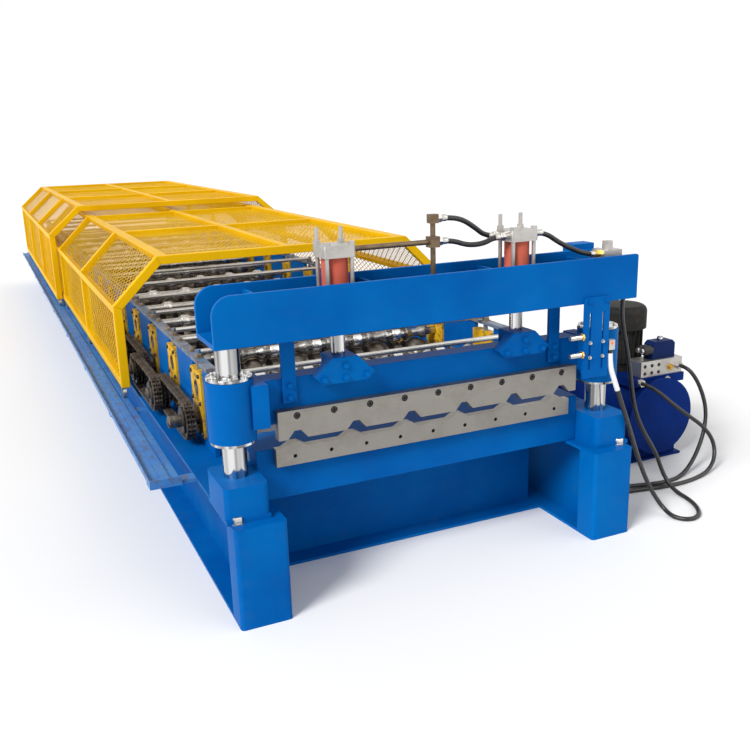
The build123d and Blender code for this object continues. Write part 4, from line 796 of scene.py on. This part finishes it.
# lower rolls: those of the two open stations have a stepped drive end, those under the covers a slimmer core
shaftTip = [(0.014, -0.800), (0.014, -0.797), (0.019, -0.797), (0.022, -0.796), (0.025, -0.793), (0.025, -0.788)]
core = 0.052
rows = [(journal, -half), (core, -half), *rollRows(core, 7), (core, half), (journal, half), (journal, 0.674)]
shape = turnedProfile(shaftTip + rows, 72)
for number, y in enumerate(stations[:2], 1):
    node, spots = f"lower_rolls_{number}", [(0, y, lowerLevel)]
    piece = bolts(f"lowerRolls{number}", shape, "+x", spots, "lowerRolls", bodyOf[node])
    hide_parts(f"lower_rolls_{number}")
core = 0.045
rows = [(journal, -end), (journal, -half), (core, -half), *rollRows(core, 3), (core, half), (journal, half)]
shape = turnedProfile([*rows, (journal, end)], 24)
spots = [(0, y, lowerLevel) for y in stations[2:]]
piece = bolts("rearLowerRolls", shape, "+x", spots, "lowerRolls")
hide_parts("rear_lower_rolls")

# slim upper shafts under the covers, and the bright collars of all the upper shafts
neck, slim, seat = 0.019, 0.0215, 0.0265
collarXs = rollPlan["pitch"] * np.arange(-2, 3)
rows = [(neck, -end), (neck, -half), (slim, -half)]
for x in collarXs:
    rows += [(slim, x - 0.034), (seat, x - 0.033), (seat, x + 0.033), (slim, x + 0.034)]
rows += [(slim, half), (neck, half), (neck, end)]
spots = [(0, y, upperLevel) for y in stations[2:]]
shape = turnedProfile(rows, 28)
piece = bolts("rearUpperRolls", shape, "+x", spots, "shaftSteel")
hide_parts("rear_upper_rolls")
collarRing = turnedProfile([(0.0326, -0.0205), (0.0334, -0.0195), (0.0334, 0.0195), (0.0326, 0.0205)], 32)
for number, y in enumerate(stations[:2], 1):
    node, spots = f"upper_rolls_{number}", [(x, y, upperLevel) for x in collarXs]
    bolts(f"brightCollars{number}", collarRing, "+x", spots, "brightSteel", bodyOf[node])
spots = [(x, y, upperLevel) for y in stations[2:] for x in collarXs]
bolts("brightCollarsRear", collarRing, "+x", spots, "brightSteel")
print("rolls turned")

# sprockets and roller chains
chain = {
    "pitch": 0.01905, "centreRadius": 0.073, "centres": 0.455, "pin": (0.0032, 0.0096), "roller": (0.0062, 0.0043),
    "plateRadius": 0.0085, "waist": 0.0060, "plate": 0.0017, "plateXs": (0.0052, 0.0074),
}
strands = {"near": (-0.710, -0.730), "far": (-0.750, -0.770)}
sprocket = {"teeth": 24, "width": 0.0078, "root": 0.0664, "tip": 0.0770}
hub = {"radius": 0.0530, "edge": 0.0500, "bevel": 0.003, "inner": -0.694, "nearEnd": -0.746, "farEnd": -0.786}


# One toothed row: going round, the radius is the root under each roller and the tip between two rollers.
def toothedRow(x):
    share = np.array([-0.20, 0.20, 0.36, 0.50, 0.64])
    radii = np.array([0, 0, 0.72, 1.0, 0.72]) * (sprocket["tip"] - sprocket["root"]) + sprocket["root"]
    angles = ((np.arange(sprocket["teeth"])[:, None] + share) * 2 * np.pi / sprocket["teeth"] + np.pi / 2).ravel()
    r = np.tile(radii, sprocket["teeth"])
    n = len(r)
    faceXs = (x - sprocket["width"] / 2, x + sprocket["width"] / 2)
    layers = [np.stack([np.full(n, faceX), r * np.cos(angles), r * np.sin(angles)], -1) for faceX in faceXs]
    around, _, quads = ringFaces(2, n)
    return np.vstack(layers), [quads, around[None, ::-1].copy(), (around + n)[None]]


# Toothed rows on one hub, a drum with bevelled edges from low to high along the shaft.
def sprocketSet(rows, low, high):
    wide, edge, bevel = hub["radius"], hub["edge"], hub["bevel"]
    drum = turnedProfile([(edge, low), (wide, low + bevel), (wide, high - bevel), (edge, high)], 40)
    return joined([toothedRow(x) for x in rows] + [(pointed(drum[0], "+x"), drum[1])])


nearSet = sprocketSet(strands["near"], hub["nearEnd"], hub["inner"])
bothSets = sprocketSet(strands["near"] + strands["far"], hub["farEnd"], hub["inner"])
for number, (name, shape) in enumerate((("nearSprocket", nearSet), ("secondSprocket", bothSets)), 1):
    points, faces = repeated(*shape, [(0, stations[number - 1], lowerLevel)])
    newPiece(name, points, faces, "greasy", bodyOf[f"lower_rolls_{number}"], smooth=30)
rearShaft = turnedProfile([(0.014, -0.800), (0.019, -0.797), (0.025, -0.793), (0.025, -0.674)], 24)
rearSet = joined([bothSets, (pointed(rearShaft[0], "+x"), rearShaft[1])])
points, faces = repeated(*rearSet, [(0, y, lowerLevel) for y in stations[2:]])
newPiece("rearSprockets", points, faces, "greasy", "frame", smooth=30, stands=("rear_sprockets",))
print("sprockets cut")

loopLength = 2 * chain["centres"] + 2 * math.pi * chain["centreRadius"]
linkCount = round(loopLength / chain["pitch"] / 2) * 2


# A racetrack: along the top run, round the far half circle, back along the bottom run, round the near one.
def alongLoop(distance):
    run, bend = chain["centres"], math.pi * chain["centreRadius"]
    d = np.mod(distance, loopLength)
    r = chain["centreRadius"]
    farTurn = (d - run) / r
    nearTurn = (d - 2 * run - bend) / r
    parts = [d < run, d < run + bend, d < 2 * run + bend]
    y = np.select(parts, [d, run + r * np.sin(farTurn), 2 * run + bend - d], -r * np.sin(nearTurn))
    z = np.select(parts, [r + 0 * d, r * np.cos(farTurn), -r + 0 * d], -r * np.cos(nearTurn))
    return y, z


# A link plate: a figure of eight, an arc of the plate's radius at each joint drawn in to a waist between them.
def linkOutline():
    ends = np.radians([-75, -30, 30, 75])
    halfPitch = loopLength / linkCount / 2
    right = np.stack([halfPitch + chain["plateRadius"] * np.cos(ends), chain["plateRadius"] * np.sin(ends)], -1)
    return np.vstack([[[0, -chain["waist"]]], right, [[0, chain["waist"]]], -right])


# One strand: two plates a link, the pairs by turns inside and outside, with a pin and a roller at every joint.
def chainStrand():
    steps = np.arange(linkCount) * loopLength / linkCount
    startY, startZ = alongLoop(steps)
    endY, endZ = alongLoop(steps + loopLength / linkCount)
    midY, midZ = (startY + endY) / 2, (startZ + endZ) / 2
    turn = np.arctan2(endZ - startZ, endY - startY)
    outline = linkOutline()
    corners = len(outline)
    linkY = midY[:, None] + outline[:, 0] * np.cos(turn)[:, None] - outline[:, 1] * np.sin(turn)[:, None]
    linkZ = midZ[:, None] + outline[:, 0] * np.sin(turn)[:, None] + outline[:, 1] * np.cos(turn)[:, None]
    shapes = []
    ring, _, wall = ringFaces(2, corners)
    shift = np.arange(linkCount)[:, None, None] * 2 * corners
    lowCap = (ring[None, None, ::-1] + shift).reshape(-1, corners)
    highCap = (ring[None, None, :] + corners + shift).reshape(-1, corners)
    for side in (-1, 1):
        middle = side * np.where(np.arange(linkCount) % 2 == 0, *chain["plateXs"])
        xs = [np.repeat(middle[:, None] + d, corners, 1) for d in (-chain["plate"] / 2, chain["plate"] / 2)]
        layers = [np.stack([x, linkY, linkZ], -1) for x in xs]
        faces = [(wall[None] + shift).reshape(-1, 4), lowCap, highCap]
        shapes.append((np.concatenate(layers, axis=1).reshape(-1, 3), faces))
    joints = np.stack([0 * startY, startY, startZ], -1)
    for radius, reach in (chain["pin"], chain["roller"]):
        bar = turnedProfile([(radius, -reach), (radius, reach)], 6)
        shapes.append(repeated(pointed(bar[0], "+x"), bar[1], joints))
    return joined(shapes)


strand = chainStrand()
for number, name in enumerate(("near", "far")):
    points, faces = repeated(*strand, [(x, y, lowerLevel) for y in stations[number:-1:2] for x in strands[name]])
    stands = ("drive_chains",)
    newPiece(name + "RollerChains", points, faces, "chainSteel", "frame", smooth=35, stands=stands)
print("chains made with", linkCount, "links a strand")

# wire mesh on the covers
wireMesh = {"long": 0.060, "short": 0.030, "strand": 0.0036, "depth": 0.0022}
covers = {
    "front": {"half": 0.858, "eave": 0.796, "ridgeX": 0.641, "ridge": 1.010, "start": 1.192, "bay": 1.290},
    "rear": {"half": 0.904, "eave": 0.885, "ridgeX": 0.686, "ridge": 1.078, "start": 3.905, "bay": 1.150},
}
tube, bays, meshFoot = 0.040, 3, 0.448


# A lattice of diamonds on a grid of nu by nv fields. One strand crosses each field: from its low corner up to
# its high one where i + j is even, and down where it is odd. A strand is a flat bar with four sides.
def meshPanel(origin, along, across, length, width):
    along, across = (np.asarray(v, float) / np.linalg.norm(v) for v in (along, across))
    normal = np.cross(along, across)
    nu = max(2, round(length / wireMesh["long"] * 2))
    nv = max(2, round(width / wireMesh["short"] * 2))
    i, j = np.meshgrid(np.arange(nu), np.arange(nv), indexing="ij")
    even = (i + j) % 2 == 0
    u0, u1 = i * length / nu, (i + 1) * length / nu
    v0 = np.where(even, j, j + 1) * width / nv
    v1 = np.where(even, j + 1, j) * width / nv
    start = origin + u0.reshape(-1, 1) * along + v0.reshape(-1, 1) * across
    end = origin + u1.reshape(-1, 1) * along + v1.reshape(-1, 1) * across
    run = end - start
    side = np.cross(run, normal)
    side *= wireMesh["strand"] / 2 / np.linalg.norm(side, axis=1, keepdims=True)
    lift = normal * wireMesh["depth"] / 2
    ring = [side + lift, -side + lift, -side - lift, side - lift]
    points = np.stack([start + o for o in ring] + [end + o for o in ring], axis=1).reshape(-1, 3)
    walls = np.array([[k, (k + 1) % 4, (k + 1) % 4 + 4, k + 4] for k in range(4)])[:, ::-1]
    faces = (walls[None] + np.arange(len(start))[:, None, None] * 8).reshape(-1, 4)
    return points, [faces]


# The panels of one cover: in each bay, on each side, an upright, a sloping and a flat one inside the tube frame.
# Where two of them meet, the corner lies half a tube in, moved by tube / 2 * tan(half the turn between them).
def coverMesh(name, plan):
    half, eave, ridgeX, ridge = plan["half"], plan["eave"], plan["ridgeX"], plan["ridge"]
    first, last = plan["start"] + tube / 2, plan["start"] + bays * plan["bay"] - tube / 2
    starts = [min(max(plan["start"] + number * plan["bay"], first), last) for number in range(bays + 1)]
    slope = np.array([ridgeX - half, ridge - eave])
    slope /= np.linalg.norm(slope)
    eaveHalf, ridgeHalf = math.acos(slope[1]) / 2, math.acos(-slope[0]) / 2
    lowX, lowZ = half - tube / 2, eave - tube / 2 * math.tan(eaveHalf)
    topX, topZ = ridgeX - tube / 2 * math.tan(ridgeHalf), ridge - tube / 2
    slant = math.hypot(topX - lowX, topZ - lowZ)
    panels = []
    for number in range(bays):
        y0, y1 = starts[number] + tube / 2, starts[number + 1] - tube / 2
        for s in (-1, 1):
            run = s * (topX - lowX), 0, topZ - lowZ
            for origin, across, width in (
                ((s * lowX, y0, meshFoot), (0, 0, 1), lowZ - tube / 2 - meshFoot),
                ((s * lowX, y0, lowZ), run, slant),
                ((s * tube / 2, y0, topZ), (s, 0, 0), topX - tube),
            ):
                panels.append(meshPanel(origin, (0, 1, 0), across, y1 - y0, width))
    points, faces = joined(panels)
    stands = (name + "_cover_mesh",)
    newPiece(name + "CoverWireMesh", points, faces, "yellow", name + "_cover", stands=stands)


for name, plan in covers.items():
    coverMesh(name, plan)
print("wire mesh woven")

# stage and light
stage = {"floorHalf": 30.0, "floorColour": (0.86, 0.86, 0.86)}
floorCorners = stage["floorHalf"] * np.array([(-1, -1, 0), (1, -1, 0), (1, 1, 0), (-1, 1, 0)])
floorMesh = meshOf("floor", floorCorners, [np.arange(4)[None]])
floor = placed("floor", floorMesh)
floorFinish = Finish("paleFloor")
floorMesh.materials.append(floorFinish.set(Base_Color=stage["floorColour"], Roughness=0.9, Specular_IOR_Level=0.1))

lamps = {
    "key": {"turn": (52, 0, -64), "strength": 3.3, "spread": 22},
    "fill": {"turn": (60, 0, 48), "strength": 0.75, "spread": 60},
}
for name, plan in lamps.items():
    data = bpy.data.lights.new(name, "SUN")
    data.energy = plan["strength"]
    data.angle = math.radians(plan["spread"])
    placed(name, data).rotation_euler = [math.radians(v) for v in plan["turn"]]

# The world is white to the camera, in mirrors and through glass, and lights everything else less.
sky = {"light": 0.48, "seen": 1.0}
world = bpy.data.worlds.new("studio")
bpy.context.scene.world = world
world.use_nodes = True
tree = world.node_tree
background = tree.nodes["Background"]
background.inputs["Color"].default_value = (1, 1, 1, 1)
lightPath = tree.nodes.new("ShaderNodeLightPath")
shown = lightPath.outputs["Is Camera Ray"]
for ray in ("Is Glossy Ray", "Is Transmission Ray"):
    either = tree.nodes.new("ShaderNodeMath")
    either.operation = "MAXIMUM"
    tree.links.new(shown, either.inputs[0])
    tree.links.new(lightPath.outputs[ray], either.inputs[1])
    shown = either.outputs[0]
mixed = tree.nodes.new("ShaderNodeMix")
mixed.inputs[2].default_value, mixed.inputs[3].default_value = sky["light"], sky["seen"]
tree.links.new(shown, mixed.inputs[0])
tree.links.new(mixed.outputs[0], background.inputs["Strength"])
bpy.context.scene.view_settings.view_transform = "Standard"
print("stage set, lamps:", len(lamps))
